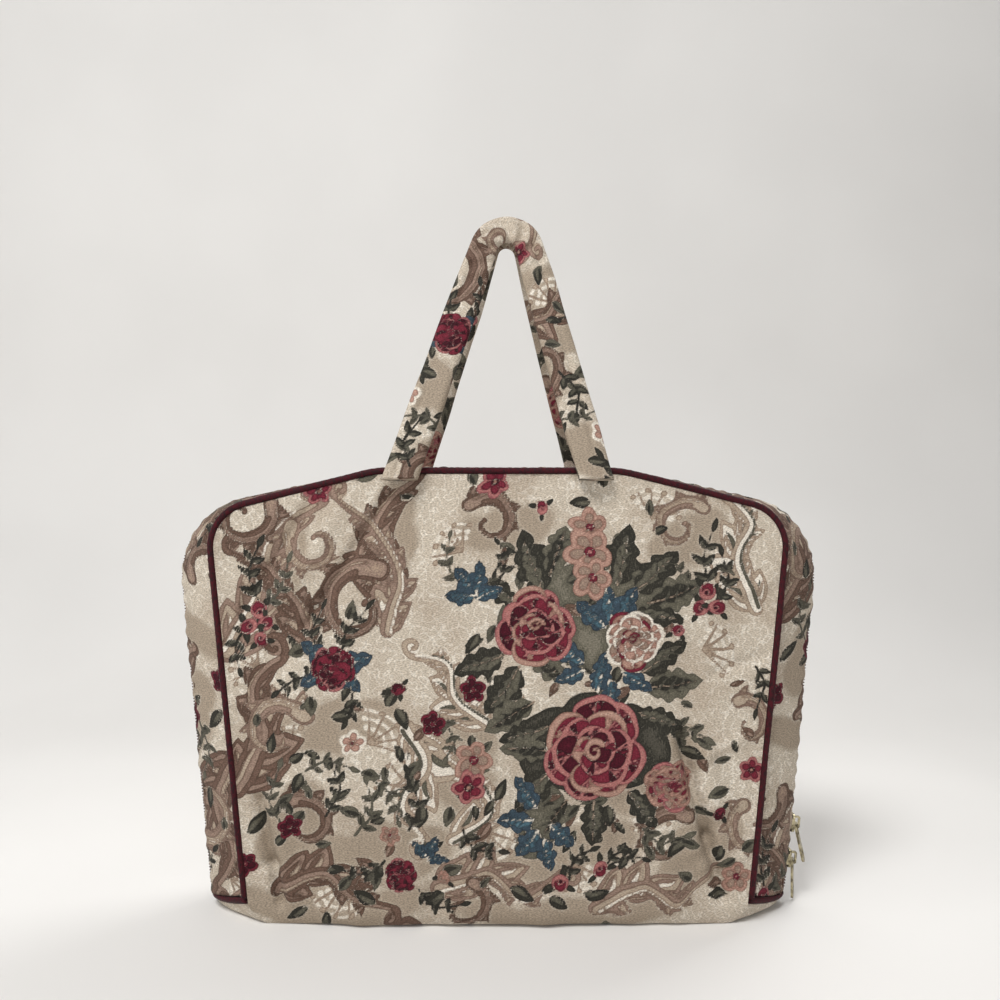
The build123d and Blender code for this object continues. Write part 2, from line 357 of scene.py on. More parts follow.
def lengths_along(line):
    """The length along a line up to each of its points."""
    steps = np.linalg.norm(np.diff(line, axis=0), axis=1)
    return np.concatenate(((0,), np.cumsum(steps)))


def resampled(line, count):
    """A line with a chosen number of evenly spaced points."""
    along = lengths_along(line)
    places = np.linspace(0, along[-1], count)
    return np.column_stack([np.interp(places, along, axis) for axis in line.T])


def split_line(line, height):
    """The parts of a rising line below and above a height."""
    index = int(np.argmax(line[:, 1] > height))
    low, high = line[index - 1], line[index]
    cut = mix(low, high, (height - low[1]) / (high[1] - low[1]))
    return np.vstack((line[:index], cut)), np.vstack((cut, line[index:]))


def end_height(y, radius):
    """Height of the dipped line at the gusset's lower ends, at a depth and a radius."""
    return end_centre_height - math.sqrt(radius**2 - y**2)


def over_line(y, outs, foot, count):
    """The line from the right foot over the top to the left foot, at a depth."""
    _, right = split_line(half_line(y, outs), foot)
    left = right[-2::-1] * (-1, 1)
    return resampled(np.vstack((right, left)), count)


def over_rows(stations):
    """Such lines on a grid, at pairs of a depth and a distance out from the gusset."""
    rows = []
    for y, out in stations:
        line = over_line(y, surface_outs(y, out), end_height(y, end_radius), strip_columns)
        rows.append(at_depth(line, y))
    return np.array(rows)


# Meshes


def grid_normals(points):
    """Directions square to a grid of points, turned away from the middle of the bag."""
    across = np.gradient(points, axis=1)
    down = np.gradient(points, axis=0)
    normals = np.cross(across, down)
    normals /= np.maximum(np.linalg.norm(normals, axis=-1, keepdims=True), 1e-9)
    middle = np.array((0, 0, panel_height / 2))
    away = np.sum(normals * (points - middle), axis=-1)
    return normals * (1 if away.mean() > 0 else -1)


def with_rim(points, normals, cloth, depth):
    """A grid and its cloth places with every edge turned in by a depth."""
    inner = points - normals * depth
    grown = np.pad(points, ((1, 1), (1, 1), (0, 0)), mode="edge")
    grown[0, 1:-1], grown[-1, 1:-1] = inner[0], inner[-1]
    grown[1:-1, 0], grown[1:-1, -1] = inner[:, 0], inner[:, -1]
    for row, column in ((0, 0), (0, -1), (-1, 0), (-1, -1)):
        grown[row, column] = inner[row, column]
    return grown, np.pad(cloth, ((1, 1), (1, 1), (0, 0)), mode="edge")


def capped(rings, centres):
    """Rings round a line of centres, drawn in to a point at both ends."""
    ends = np.repeat(centres[[0, -1], None], rings.shape[1], axis=1)
    return np.concatenate((ends[:1], rings, ends[1:]))


def mesh_object(name, points, faces, material):
    """A smooth mesh in the scene, from points in millimetres."""
    mesh = bpy.data.meshes.new(name)
    mesh.from_pydata((points.reshape(-1, 3) * MM).tolist(), [], faces)
    mesh.polygons.foreach_set("use_smooth", [True] * len(mesh.polygons))
    mesh.materials.append(material)
    piece = bpy.data.objects.new(name, mesh)
    bpy.context.collection.objects.link(piece)
    return piece


def mesh_piece(name, node, points, faces, material):
    """A mesh that rides on the bag in the place of a solid."""
    piece = mesh_object(name, points, faces, material)
    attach(piece, "bag")
    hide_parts(node)
    return piece


def grid_piece(name, node, points, material, closed=False):
    """A grid of points as such a piece, closed round its columns where asked."""
    faces = facing_out(points, grid_faces(*points.shape[:2], closed))
    return mesh_piece(name, node, points, faces, material)


def grid_faces(rows, columns, closed=False):
    """The four-sided faces of a grid, closed round its columns where asked."""
    index = np.arange(rows * columns).reshape(rows, columns)
    if closed:
        index = np.column_stack((index, index[:, 0]))
    corners = (index[:-1, :-1], index[:-1, 1:], index[1:, 1:], index[1:, :-1])
    return np.stack(corners, axis=-1).reshape(-1, 4).tolist()


def facing_out(points, faces):
    """The same faces, all turned over where they face in more than out."""
    flat = points.reshape(-1, 3)
    corners = flat[np.array(faces)]
    normals = np.cross(corners[:, 1] - corners[:, 0], corners[:, 3] - corners[:, 0])
    away = corners.mean(axis=1) - flat.mean(axis=0)
    if np.sum(normals * away) < 0:
        return [face[::-1] for face in faces]
    return faces


def store_vectors(piece, name, vectors):
    """A vector for each point of a piece, under a name that materials can read."""
    layer = piece.data.attributes.new(name, "FLOAT_VECTOR", "POINT")
    layer.data.foreach_set("vector", np.ascontiguousarray(vectors, dtype=np.float32).ravel())


# The woven pattern: yarns and the strokes that lay them on the flat cloth

yarns = (
    "shade", "bright", "beige", "mauve", "brown", "olive", "sage",
    "slate", "teal", "pink", "rose", "wine", "peach",
)
yarn_layers = "abcde"
far = 60.0
stroke_margin = 6.0
lobe_share = 0.22
petal_peak_power = 0.8
petal_round_power = 0.85
sway_cell = 17.0
sway_height = 1.7
stray_cell = 6.0
stray_height = 0.45
patch_overlap = 0.4
thinnest_stroke = 1.2
rib_widths = (1.7, 1.0)
vein_widths = (1.4, 1.0)
stem_widths = (1.6, 1.2)
lace_widths = (1.8, 1.2)
lace_dot = 3.4
filler_sizes = (9, 15)
blossom_petals = 5
spray_pairs = 3
plume_lobes = 5
plume_points = 24
spiral_points = 26
spiral_fall_share = 0.8


def turned(away, angle):
    """Places as lengths along and across a direction."""
    u = away[:, 0] * math.cos(angle) + away[:, 1] * math.sin(angle)
    v = away[:, 1] * math.cos(angle) - away[:, 0] * math.sin(angle)
    return u, v


class Tapestry:
    """Fields of all yarns at places on a piece of cloth."""

    def __init__(self, cloth):
        self.flat = cloth.reshape(-1, 2)
        self.cloth = self.flat.copy()
        for axis, (sway, stray) in enumerate(zip(sway_seeds, stray_seeds)):
            self.cloth[:, axis] += sway_height * value_noise(self.flat, sway_cell, sway)
            self.cloth[:, axis] += stray_height * value_noise(self.flat, stray_cell, stray)
        self.fields = np.full((3 * len(yarn_layers), len(self.cloth)), -far)
        self.part = np.arange(len(self.cloth))
        self.local = self.cloth

    def start_repeat(self, origin, low, high):
        """Works from here on in one repeat of the pattern, if any cloth lies in it."""
        local = self.cloth - origin
        part = np.flatnonzero(((local > low) & (local < high)).all(axis=1))
        self.part = part[np.argsort(local[part, 0])]
        self.local = local[self.part]
        return len(part) > 0

    def near(self, x, y, reach):
        """Places within reach of a point, and where they lie from it."""
        reach += stroke_margin
        first, last = np.searchsorted(self.local[:, 0], (x - reach, x + reach))
        where = first + np.flatnonzero(np.abs(self.local[first:last, 1] - y) < reach)
        return where, self.local[where] - (x, y)

    def lay(self, yarn, where, depth):
        """Lays a yarn over the others, where its depth in from the edge is positive."""
        if not len(where):
            return
        index, places = yarns.index(yarn), self.part[where]
        rows = self.fields[:, places]
        own = np.maximum(rows[index], depth)
        rows = np.minimum(rows, patch_overlap - depth)
        rows[index] = own
        self.fields[:, places] = rows

    def blob(self, yarn, x, y, length, width, angle=0.0):
        """An oval patch."""
        where, away = self.near(x, y, max(length, width) / 2)
        u, v = turned(away, angle)
        ring = np.hypot(2 * u / length, 2 * v / width)
        self.lay(yarn, where, (1 - ring) * min(length, width) / 2)

    def petal(self, yarn, x, y, angle, length, width, lobes=0, bias=0.0):
        """A pointed oval patch that grows from a point, with lobes along its edges if asked."""
        where, away = self.near(x, y, length)
        u, v = turned(away, angle)
        along = np.clip(u / length, 0, 1)
        half = width / 2 * np.sin(math.pi * along**petal_peak_power) ** petal_round_power
        if lobes:
            half *= 1 - lobe_share + lobe_share * np.abs(np.sin(math.pi * lobes * along)) * 2
        depth = half - np.abs(v - bias * width * np.sin(math.pi * along))
        outside = np.maximum(-u, u - length)
        self.lay(yarn, where, np.where(outside > 0, -np.hypot(outside, v), depth))

    def line(self, yarn, points, start_width, end_width):
        """A tapered line through points."""
        points = np.asarray(points, float)
        centre = (points.min(axis=0) + points.max(axis=0)) / 2
        reach = np.ptp(points, axis=0).max() / 2 + max(start_width, end_width)
        where, away = self.near(*centre, reach)
        best = np.full(len(where), -far)
        count = len(points) - 1
        for index, (start, end) in enumerate(zip(points[:-1] - centre, points[1:] - centre)):
            run = end - start
            share = np.clip((away - start) @ run / (run @ run), 0, 1)
            off = np.linalg.norm(away - start - share[:, None] * run, axis=1)
            half = mix(start_width, end_width, (index + share) / count) / 2
            best = np.maximum(best, half - off)
        self.lay(yarn, where, best)


def curve(points, count):
    """A smooth line through a few points."""
    points = np.asarray(points, float)
    ends = np.vstack((2 * points[0] - points[1], points, 2 * points[-1] - points[-2]))
    places = np.linspace(0, len(points) - 1, count)
    index = np.minimum(places.astype(int), len(points) - 2)
    t = (places - index)[:, None]
    a, b, c, d = (ends[index + k] for k in range(4))
    return b + t * (c - a + t * (2 * a - 5 * b + 4 * c - d + t * (3 * (b - c) + d - a))) / 2


def spiral(x, y, radius, start, turns, hand):
    """A line that winds from the outside of a scroll into its eye."""
    share = np.linspace(0, 1, spiral_points)
    reach = radius * (1 - spiral_fall_share * share)
    angle = start + hand * 2 * math.pi * turns * share
    return np.column_stack((x + reach * np.cos(angle), y + reach * np.sin(angle)))


def ahead(x, y, angle, reach):
    """The point at some reach from another in a direction."""
    return x + reach * math.cos(angle), y + reach * math.sin(angle)


def heading(start, end):
    """The direction from one point to another, as an angle."""
    return math.atan2(end[1] - start[1], end[0] - start[0])


# Yarns of flowers from rim to heart, of leaves from body to rib, and of scrolls
red_coats = ("pink", "rose", "wine", "peach")
deep_coats = ("rose", "wine", "rose", "pink")
dusk_coats = ("peach", "mauve", "rose", "pink")
peach_coats = ("bright", "peach", "mauve", "rose")
dark_leaf = ("olive", "sage", "beige")
blue_leaf = ("slate", "teal", "bright")
grey_leaf = ("sage", "olive", "beige")
brown_leaf = ("brown", "mauve", "beige")
taupe_coats = ("beige", "mauve", "bright")
umber_coats = ("mauve", "brown", "beige")
pale_coats = ("bright", "beige", "sage")
filler_coats = (dark_leaf, dark_leaf, grey_leaf, grey_leaf, brown_leaf)
rose_rings = ((7, 0.64, 0.42), (6, 0.42, 0.38), (4, 0.2, 0.3))


def draw_rose(cloth, x, y, radius, coats, turn):
    """A full rose: rings of rounded petals with streaks in them, round a wound heart."""
    rim, body, fold, heart = coats
    petals = ((rim, body, fold), (rim, fold, body), (heart, body, rim))
    inset, deep = 0.05 * radius, 0.2 * radius
    streak = max(thinnest_stroke, 0.06 * radius)
    chance = np.random.default_rng(int(7 * radius))
    for ring, (count, out, size) in enumerate(rose_rings):
        for step in range(count):
            angle = turn + ring * 0.5 + 2 * math.pi * (step + chance.uniform(-0.2, 0.2)) / count
            place = ahead(x, y, angle, out * radius * chance.uniform(0.88, 1.1))
            wide = 2 * size * radius * chance.uniform(0.85, 1.12)
            tall = 0.82 * wide
            square = angle + math.pi / 2 + chance.uniform(-0.3, 0.3)
            edge, main, other = petals[(step + 2 * ring) % 3]
            cloth.blob(edge, *place, wide, tall, square)
            cloth.blob(main, *ahead(*place, angle, -inset), 0.88 * wide, 0.82 * tall, square)
            for bend in (-0.6, -0.2, 0.2, 0.6):
                vein = (ahead(*place, angle + bend, -deep), ahead(*place, angle + bend, deep))
                cloth.line(edge if bend > 0 else other, vein, thinnest_stroke, streak)
            cloth.blob(other, *ahead(*place, angle, -deep), 0.56 * wide, 0.3 * tall, square)
    cloth.blob(fold, x, y, 0.42 * radius, 0.36 * radius)
    cloth.line(heart, spiral(x, y, 0.2 * radius, turn, 1.2, 1), 0.1 * radius, 0.06 * radius)


def draw_blossom(cloth, x, y, radius, coats, turn):
    """A small open flower of five rounded petals with a dark eye."""
    rim, body, fold, heart = coats
    for step in range(blossom_petals):
        angle = turn + 2 * math.pi * step / blossom_petals
        cloth.blob(rim, *ahead(x, y, angle, 0.52 * radius), 0.96 * radius, 0.8 * radius, angle)
        cloth.blob(body, *ahead(x, y, angle, 0.44 * radius), 0.66 * radius, 0.5 * radius, angle)
    cloth.blob(fold, x, y, 0.5 * radius, 0.46 * radius)
    cloth.blob(heart, x, y, 0.26 * radius, 0.24 * radius)


def draw_bud(cloth, x, y, size, coats, angle):
    """A small half open rose with a few leaves round it."""
    rim, body, fold, _ = coats
    for bend in (-1.1, 1.2, 2.9):
        root = ahead(x, y, angle + bend, 0.3 * size)
        cloth.petal("olive", *root, angle + bend, 0.75 * size, 0.36 * size)
    for yarn, shift, wide, tall in ((rim, 0, 1, 0.9), (body, 0.1, 0.72, 0.66), (rim, -0.06, 0.44, 0.4)):
        cloth.blob(yarn, *ahead(x, y, angle, shift * size), wide * size, tall * size, angle)
    cloth.blob(fold, *ahead(x, y, angle, -0.1 * size), 0.26 * size, 0.22 * size, angle)


def draw_leaf(cloth, x, y, length, width, angle, coats, lobes=4):
    """A leaf with toothed edges, a lighter half and a rib with side veins."""
    body, half, rib = coats
    cloth.petal(body, x, y, angle, length, width, lobes)
    cloth.petal(half, x, y, angle, 0.86 * length, 0.42 * width, lobes, 0.22)
    tip = ahead(x, y, angle, 0.88 * length)
    cloth.line(rib, ((x, y), tip), *rib_widths)
    for share in (0.3, 0.5, 0.7):
        start = mix(np.array((x, y)), np.array(tip), share)
        for side, yarn in ((-1, half), (1, body)):
            end = ahead(*start, angle + side * 0.7, 0.42 * width * math.sin(math.pi * share))
            cloth.line(yarn, (start, end), *vein_widths)


def draw_spray(cloth, points, leaf, coats):
    """A thin stem with small leaves in pairs and one at its tip."""
    stem = curve(points, 2 * spray_pairs + 2)
    cloth.line(coats[0], stem, *stem_widths)
    for index in range(1, len(stem) - 1, 2):
        way = heading(stem[index], stem[index + 1])
        size = leaf * mix(1.3, 1.0, index / len(stem))
        for side in (-1, 1):
            angle = way + side * 0.85
            cloth.petal(coats[0], *stem[index], angle, size, 0.5 * size)
            cloth.petal(coats[1], *stem[index], angle, 0.8 * size, 0.22 * size, 0, 0.2 * side)
    way = heading(stem[-2], stem[-1])
    cloth.petal(coats[0], *stem[-1], way, 1.1 * leaf, 0.5 * leaf)


def draw_lobe(cloth, x, y, angle, size, coats, bend):
    """One broad curled lobe of a scrolling leaf, dark at its edge and streaked inside."""
    pale, dark, light = coats
    cloth.petal(dark, x, y, angle, size, 0.6 * size, 0, bend)
    cloth.petal(pale, x, y, angle, 0.9 * size, 0.44 * size, 0, 1.3 * bend)
    root = ahead(x, y, angle, 0.15 * size)
    cloth.petal(dark, *root, angle, 0.6 * size, 0.1 * size, 0, -1.5 * bend)
    cloth.petal(light, *root, angle, 0.62 * size, 0.11 * size, 0, 5 * bend)


def draw_plume(cloth, points, width, coats):
    """A scrolling leaf: a tapered band on a bent rib, with broad curled lobes and a wound tip."""
    pale, dark, light = coats
    rib = curve(points, plume_points)
    tangent = unit(np.gradient(rib, axis=0))
    aside = -right_of(tangent)
    hand = 1 if tangent[-1] @ aside[-5] > 0 else -1
    for index in range(plume_lobes):
        place = int(len(rib) * (0.04 + 0.15 * index))
        for side in (hand, -hand):
            way = heading(rib[place], rib[place + 1]) + side * 0.5
            size = width * (1.25 - 0.14 * index) * (1 if side == -hand else 0.75)
            draw_lobe(cloth, *rib[place], way, size, coats, -side * 0.15)
    cloth.line(dark, rib, 0.36 * width, 0.16 * width)
    cloth.line(pale, rib + 0.04 * width * hand * aside, 0.24 * width, 0.08 * width)
    cloth.line(light, rib[:-4] + 0.09 * width * hand * aside[:-4], 0.09 * width, 0.05 * width)
    eye = rib[-1] + 0.26 * width * hand * aside[-1]
    curl = spiral(*eye, 0.26 * width, heading(eye, rib[-1]), 1.0, hand)
    cloth.blob(pale, *eye, 0.4 * width, 0.4 * width)
    cloth.line(dark, curl, 0.17 * width, 0.10 * width)


def draw_scroll(cloth, x, y, radius, start, turns, hand, coats):
    """A leafy scroll: a wide band that winds into an eye, with lobes on its outer edge."""
    pale, dark, light = coats
    band = spiral(x, y, radius, start, turns, hand)
    width = 0.46 * radius
    for index in range(0, 15, 3):
        way = heading(band[index], band[index + 1]) - hand * 0.8
        draw_lobe(cloth, *band[index], way, 0.8 * radius * (1 - index / spiral_points), coats, hand * 0.14)
    cloth.line(dark, band, 1.25 * width, 0.3 * width)
    cloth.line(pale, band, 0.95 * width, 0.2 * width)
    inner = mix(band, np.array((x, y)), 0.12)
    cloth.line(dark, inner[2:], 0.34 * width, 0.1 * width)
    outer = mix(band, np.array((x, y)), -0.1)
    cloth.line(light, outer[1:-4], 0.16 * width, 0.06 * width)
    cloth.blob(dark, *band[-1], 0.4 * width, 0.4 * width)


def draw_filler(cloth, x, y, radius, count, seed):
    """Small loose leaves that fill the ground round a cluster."""
    chance = np.random.default_rng(seed)
    for _ in range(count):
        away = radius * math.sqrt(chance.uniform(0.05, 1))
        turn, angle = chance.uniform(0, 2 * math.pi, 2)
        place = ahead(x, y, turn, away)
        size = chance.uniform(*filler_sizes)
        body, half, _ = filler_coats[chance.integers(len(filler_coats))]
        cloth.petal(body, *place, angle, size, 0.5 * size)
        cloth.petal(half, *place, angle, 0.8 * size, 0.22 * size, 0, 0.2)


def draw_shade(cloth, x, y, length, width, angle, yarn):
    """A soft patch of a darker ground, built of overlapping ovals."""
    for along, share in ((-0.3, 0.7), (0.0, 1.0), (0.3, 0.75)):
        place = ahead(x, y, angle, along * length)
        cloth.blob(yarn, *place, 0.6 * length, share * width, angle + along)


def draw_lace(cloth, x, y, radius, angle):
    """A fan of fine pale arcs and dots."""
    for ring, dots in ((0.45, "bright"), (0.7, "bright"), (0.95, "beige")):
        arc = [ahead(x, y, turn, ring * radius) for turn in np.linspace(angle - 1.1, angle + 1.1, 9)]
        cloth.line("bright", arc, lace_widths[0], lace_widths[0])
        for place in arc[::2]:
            cloth.blob(dots, *place, lace_dot, lace_dot)
    for turn in (-0.9, -0.45, 0, 0.45, 0.9):
        cloth.line("beige", ((x, y), ahead(x, y, angle + turn, radius)), *lace_widths)


# Layout of one repeat of the pattern, in places on the front panel
repeat_pitch = (330.0, 268.0)
repeat_low = (-185.0, -20.0)
repeat_high = (185.0, 300.0)
strip_places = {"front": (-152.0, 40.0), "rear": (40.0, -110.0)}
handle_places = {"front": (-96.0, 58.0), "rear": (123.0, 60.0)}
sweeping_plumes = (
    (((-158, 160), (-140, 196), (-128, 230), (-104, 246)), 34, taupe_coats),
    (((-108, 164), (-120, 192), (-138, 212), (-156, 218)), 24, umber_coats),
    (((-60, 190), (-74, 216), (-66, 244), (-46, 262)), 32, umber_coats),
    (((-64, 172), (-58, 205), (-74, 234), (-96, 250)), 24, taupe_coats),
    (((152, 186), (140, 212), (148, 236), (130, 252)), 26, pale_coats),
    (((-154, 80), (-136, 108), (-144, 138), (-126, 158)), 32, umber_coats),
    (((-34, 24), (-6, 34), (14, 20), (38, 36)), 24, taupe_coats),
    (((-128, 22), (-100, 32), (-84, 18), (-60, 12)), 24, umber_coats),
    (((56, 12), (86, 26), (104, 16), (132, 36)), 24, taupe_coats),
    (((-54, 118), (-42, 96), (-54, 74), (-40, 52)), 28, pale_coats),
    (((-26, 54), (-6, 68), (-14, 86), (-32, 100)), 22, pale_coats),
    (((-6, 120), (-24, 134), (-30, 154), (-50, 160)), 22, pale_coats),
)
scrolls = (
    (-80, 186, 25, 1.2, 0.95, 1, umber_coats),
    (-4, 236, 16, 2.4, 1.0, -1, umber_coats),
    (107, 234, 16, 0.6, 1.0, 1, taupe_coats),
    (146, 118, 14, 2.0, 0.9, -1, taupe_coats),
    (-129, 112, 21, 0.6, 0.9, 1, taupe_coats),
    (-112, 60, 18, 2.2, 0.9, -1, umber_coats),
    (98, 52, 18, 0.9, 0.9, 1, umber_coats),
    (-20, 14, 16, 1.2, 0.9, -1, umber_coats),
    (150, 56, 16, 2.0, 0.9, 1, taupe_coats),
    (-150, 240, 18, 0.4, 0.9, -1, umber_coats),
    (-106, 224, 18, 2.6, 0.9, 1, taupe_coats),
)
lace_fans = (
    (-46, 78, 26, 1.9), (-76, 108, 22, 0.6), (86, 78, 22, -0.9), (-8, 58, 20, -1.2),
    (-118, 98, 20, 2.4), (18, 128, 18, 2.9), (90, 238, 18, 1.2), (-20, 218, 18, 2.4),
    (120, 160, 18, 0.2), (-140, 150, 18, 2.6), (44, 40, 18, -1.4), (-90, 24, 18, -1.7),
)
large_leaves = (
    (26, 196, 38, 19, 1.9, dark_leaf), (30, 206, 30, 15, 1.2, grey_leaf),
    (70, 200, 36, 17, 1.35, dark_leaf), (66, 208, 30, 14, 2.1, dark_leaf),
    (80, 196, 36, 17, 0.75, dark_leaf), (88, 190, 34, 16, 0.3, grey_leaf),
    (80, 184, 28, 13, -0.15, dark_leaf), (10, 190, 26, 13, 2.6, dark_leaf),
    (4, 160, 32, 15, 3.5, dark_leaf), (14, 152, 34, 16, 4.0, dark_leaf),
    (20, 134, 34, 16, 3.7, grey_leaf), (30, 118, 32, 15, 3.4, dark_leaf),
    (30, 104, 30, 14, 3.1, grey_leaf), (30, 92, 30, 15, 4.0, dark_leaf),
    (86, 140, 34, 16, 0.1, grey_leaf), (82, 126, 30, 14, -0.4, dark_leaf),
    (84, 150, 30, 15, 0.5, dark_leaf), (76, 80, 26, 13, -0.9, dark_leaf),
    (56, 74, 26, 13, -1.6, dark_leaf), (40, 76, 26, 13, -2.2, grey_leaf),
    (40, 146, 28, 13, 2.6, grey_leaf), (58, 138, 26, 12, 1.4, blue_leaf),
)
blue_leaves = (
    (-12, 194, 21, 11, 2.3), (-12, 194, 20, 10, 1.5), (-12, 194, 19, 10, 3.2), (-12, 192, 17, 9, 0.5),
    (66, 176, 26, 13, 1.7), (70, 178, 24, 12, 1.1), (62, 176, 22, 11, 2.4),
    (50, 156, 24, 12, 2.6), (50, 152, 20, 10, 3.6), (72, 150, 22, 11, -0.6), (64, 146, 20, 10, -1.4),
    (24, 72, 22, 11, 2.3), (22, 66, 24, 12, 3.3), (24, 60, 22, 11, 4.0), (26, 56, 22, 11, 4.9),
    (30, 62, 20, 10, 5.6), (-40, 42, 15, 8, 1.2), (-40, 42, 14, 7, 2.4), (-40, 40, 14, 7, 0.1),
    (-96, 152, 25, 12, 0.25), (-96, 152, 23, 11, 2.5), (-96, 152, 22, 11, 3.6), (-96, 152, 22, 11, -0.7),
)
leaf_sprays = (
    (((-90, 160), (-86, 174), (-76, 186)), 7, dark_leaf),
    (((-100, 158), (-108, 170), (-104, 184)), 7, dark_leaf),
    (((-104, 148), (-118, 146), (-128, 138)), 7, dark_leaf),
    (((-90, 144), (-84, 132), (-88, 122)), 7, dark_leaf),
    (((-141, 190), (-146, 206), (-140, 222)), 8, dark_leaf),
    (((-138, 188), (-126, 198), (-122, 212)), 7, grey_leaf),
    (((-144, 178), (-154, 166), (-152, 152)), 7, dark_leaf),
    (((123, 198), (120, 214), (126, 230)), 8, dark_leaf),
    (((120, 194), (108, 202), (102, 214)), 7, grey_leaf),
    (((126, 190), (134, 202), (132, 216)), 7, dark_leaf),
    (((-22, 200), (-30, 212), (-28, 226)), 6, grey_leaf),
    (((-4, 200), (4, 210), (0, 222)), 6, dark_leaf),
    (((-126, 62), (-134, 76), (-128, 92)), 7, grey_leaf),
    (((-100, 66), (-92, 80), (-96, 94)), 7, dark_leaf),
    (((-82, 56), (-72, 68), (-76, 84)), 7, grey_leaf),
    (((-52, 58), (-46, 74), (-52, 90)), 7, dark_leaf),
    (((-20, 60), (-12, 48), (0, 46)), 7, dark_leaf),
    (((84, 60), (94, 50), (108, 54)), 7, grey_leaf),
    (((-112, 92), (-100, 98), (-86, 94)), 6, grey_leaf),
    (((-72, 86), (-62, 78), (-58, 66)), 6, grey_leaf),
    (((-66, 40), (-76, 32), (-90, 34)), 6, dark_leaf),
    (((-46, 24), (-36, 14), (-22, 16)), 6, dark_leaf),
    (((40, 30), (44, 42), (54, 46)), 6, dark_leaf),
    (((62, 36), (72, 44), (84, 42)), 6, dark_leaf),
    (((96, 112), (108, 116), (120, 110)), 7, grey_leaf),
    (((-34, 126), (-26, 112), (-30, 100)), 6, grey_leaf),
    (((150, 150), (156, 140), (152, 126)), 6, dark_leaf),
)
shades = (
    (-92, 118, 60, 34, 0.2, "shade"), (-128, 206, 56, 30, 1.2, "shade"), (-60, 226, 56, 28, 1.5, "shade"),
    (88, 92, 60, 46, 0.6, "shade"), (-20, 110, 54, 40, 1.2, "shade"),
    (-66, 44, 70, 40, 0.1, "shade"), (40, 44, 70, 34, 0.2, "shade"), (-120, 60, 50, 40, 1.0, "shade"),
    (118, 44, 50, 40, 0.8, "shade"), (6, 232, 50, 30, 0.2, "shade"), (112, 226, 44, 30, 0.4, "shade"),
    (54, 106, 74, 66, 0.0, "olive"), (48, 182, 84, 60, 0.2, "sage"), (24, 64, 40, 28, 1.2, "sage"),
    (-100, 12, 110, 26, 0.0, "shade"), (40, 8, 120, 22, 0.0, "shade"), (-20, 90, 34, 40, 1.2, "shade"),
)
fillers = (
    (44, 168, 62, 34, 21), (56, 100, 50, 26, 22), (-96, 150, 34, 10, 23), (-60, 62, 54, 18, 24),
    (30, 52, 40, 16, 27), (-42, 98, 40, 10, 28), (104, 72, 38, 12, 29), (-112, 40, 38, 8, 30),
    (134, 118, 30, 6, 33), (-136, 104, 26, 6, 34), (40, 16, 56, 9, 35), (-60, 14, 56, 9, 36),
    (60, 234, 46, 10, 37), (130, 30, 26, 6, 38),
)
full_roses = (
    (78, 169, 18, peach_coats, 0.4), (22, 177, 24, red_coats, 0.2), (56, 104, 31, red_coats, 0.7),
    (-96, 151, 14, deep_coats, 0.5), (-56, 31, 11, deep_coats, 0.1), (100, 84, 15, dusk_coats, 0.3),
)
blossoms = (
    (53, 234, 12, dusk_coats, 1.6), (52, 219, 15, dusk_coats, 0.9), (54, 203, 13, dusk_coats, 1.3),
    (-38, 121, 8, deep_coats, 0.2), (-120, 59, 8, deep_coats, 0.5), (-63, 55, 7, dusk_coats, 0.9),
    (-15, 98, 12, dusk_coats, 1.2), (-17, 84, 10, red_coats, 0.6), (-106, 253, 8, red_coats, 0.4),
    (-3, 258, 9, red_coats, 0.9), (148, 92, 8, red_coats, 0.2), (-148, 36, 8, deep_coats, 0.8),
    (-84, 108, 8, peach_coats, 0.3), (140, 28, 9, dusk_coats, 0.3), (-14, 140, 8, deep_coats, 0.4),
)
buds = (
    (-141, 186, 11, red_coats, 1.9), (-136, 178, 10, red_coats, 0.6), (-146, 176, 10, red_coats, 3.4),
    (-139, 168, 9, red_coats, 4.9), (122, 196, 11, red_coats, 1.2), (118, 186, 10, red_coats, 3.0),
    (128, 187, 10, red_coats, 0.2), (35, 28, 11, red_coats, 4.6), (59, 35, 10, red_coats, 5.0),
    (104, 172, 9, red_coats, 2.4), (26, 244, 9, red_coats, 1.8), (-58, 140, 8, deep_coats, 2.0),
    (128, 66, 8, deep_coats, 4.2), (-30, 30, 7, dusk_coats, 4.4),
)


def draw_blue_leaf(cloth, *leaf):
    """A leaf in the blue yarns, with fewer teeth."""
    draw_leaf(cloth, *leaf, blue_leaf, 3)


# From the shaded ground and the pale scrolls up to the roses on top
motifs = (
    (draw_shade, shades), (draw_lace, lace_fans), (draw_plume, sweeping_plumes),
    (draw_scroll, scrolls), (draw_filler, fillers), (draw_spray, leaf_sprays),
    (draw_leaf, large_leaves), (draw_blue_leaf, blue_leaves), (draw_bud, buds),
    (draw_blossom, blossoms), (draw_rose, full_roses),
)


def draw_repeat(cloth):
    """Draws one repeat of the pattern."""
    for draw, rows in motifs:
        for row in rows:
            draw(cloth, *row)


def weave_pattern(piece, cloth):
    """Weaves the pattern into a piece whose points lie at places on the flat cloth."""
    tapestry = Tapestry(cloth)
    pitch = np.array(repeat_pitch)
    low = np.floor((tapestry.cloth.min(axis=0) - repeat_high) / pitch).astype(int)
    high = np.ceil((tapestry.cloth.max(axis=0) - repeat_low) / pitch).astype(int)
    for column in range(low[0], high[0] + 1):
        for row in range(low[1], high[1] + 1):
            drop = pitch[1] / 2 * (column % 2)
            origin = (column * pitch[0], row * pitch[1] + drop)
            if tapestry.start_repeat(origin, repeat_low, repeat_high):
                draw_repeat(tapestry)
    for index, letter in enumerate(yarn_layers):
        store_vectors(piece, f"yarn_{letter}", tapestry.fields[3 * index : 3 * index + 3].T)
    flat = np.column_stack((tapestry.flat, np.zeros(len(tapestry.flat))))
    store_vectors(piece, "cloth", flat)


# Materials

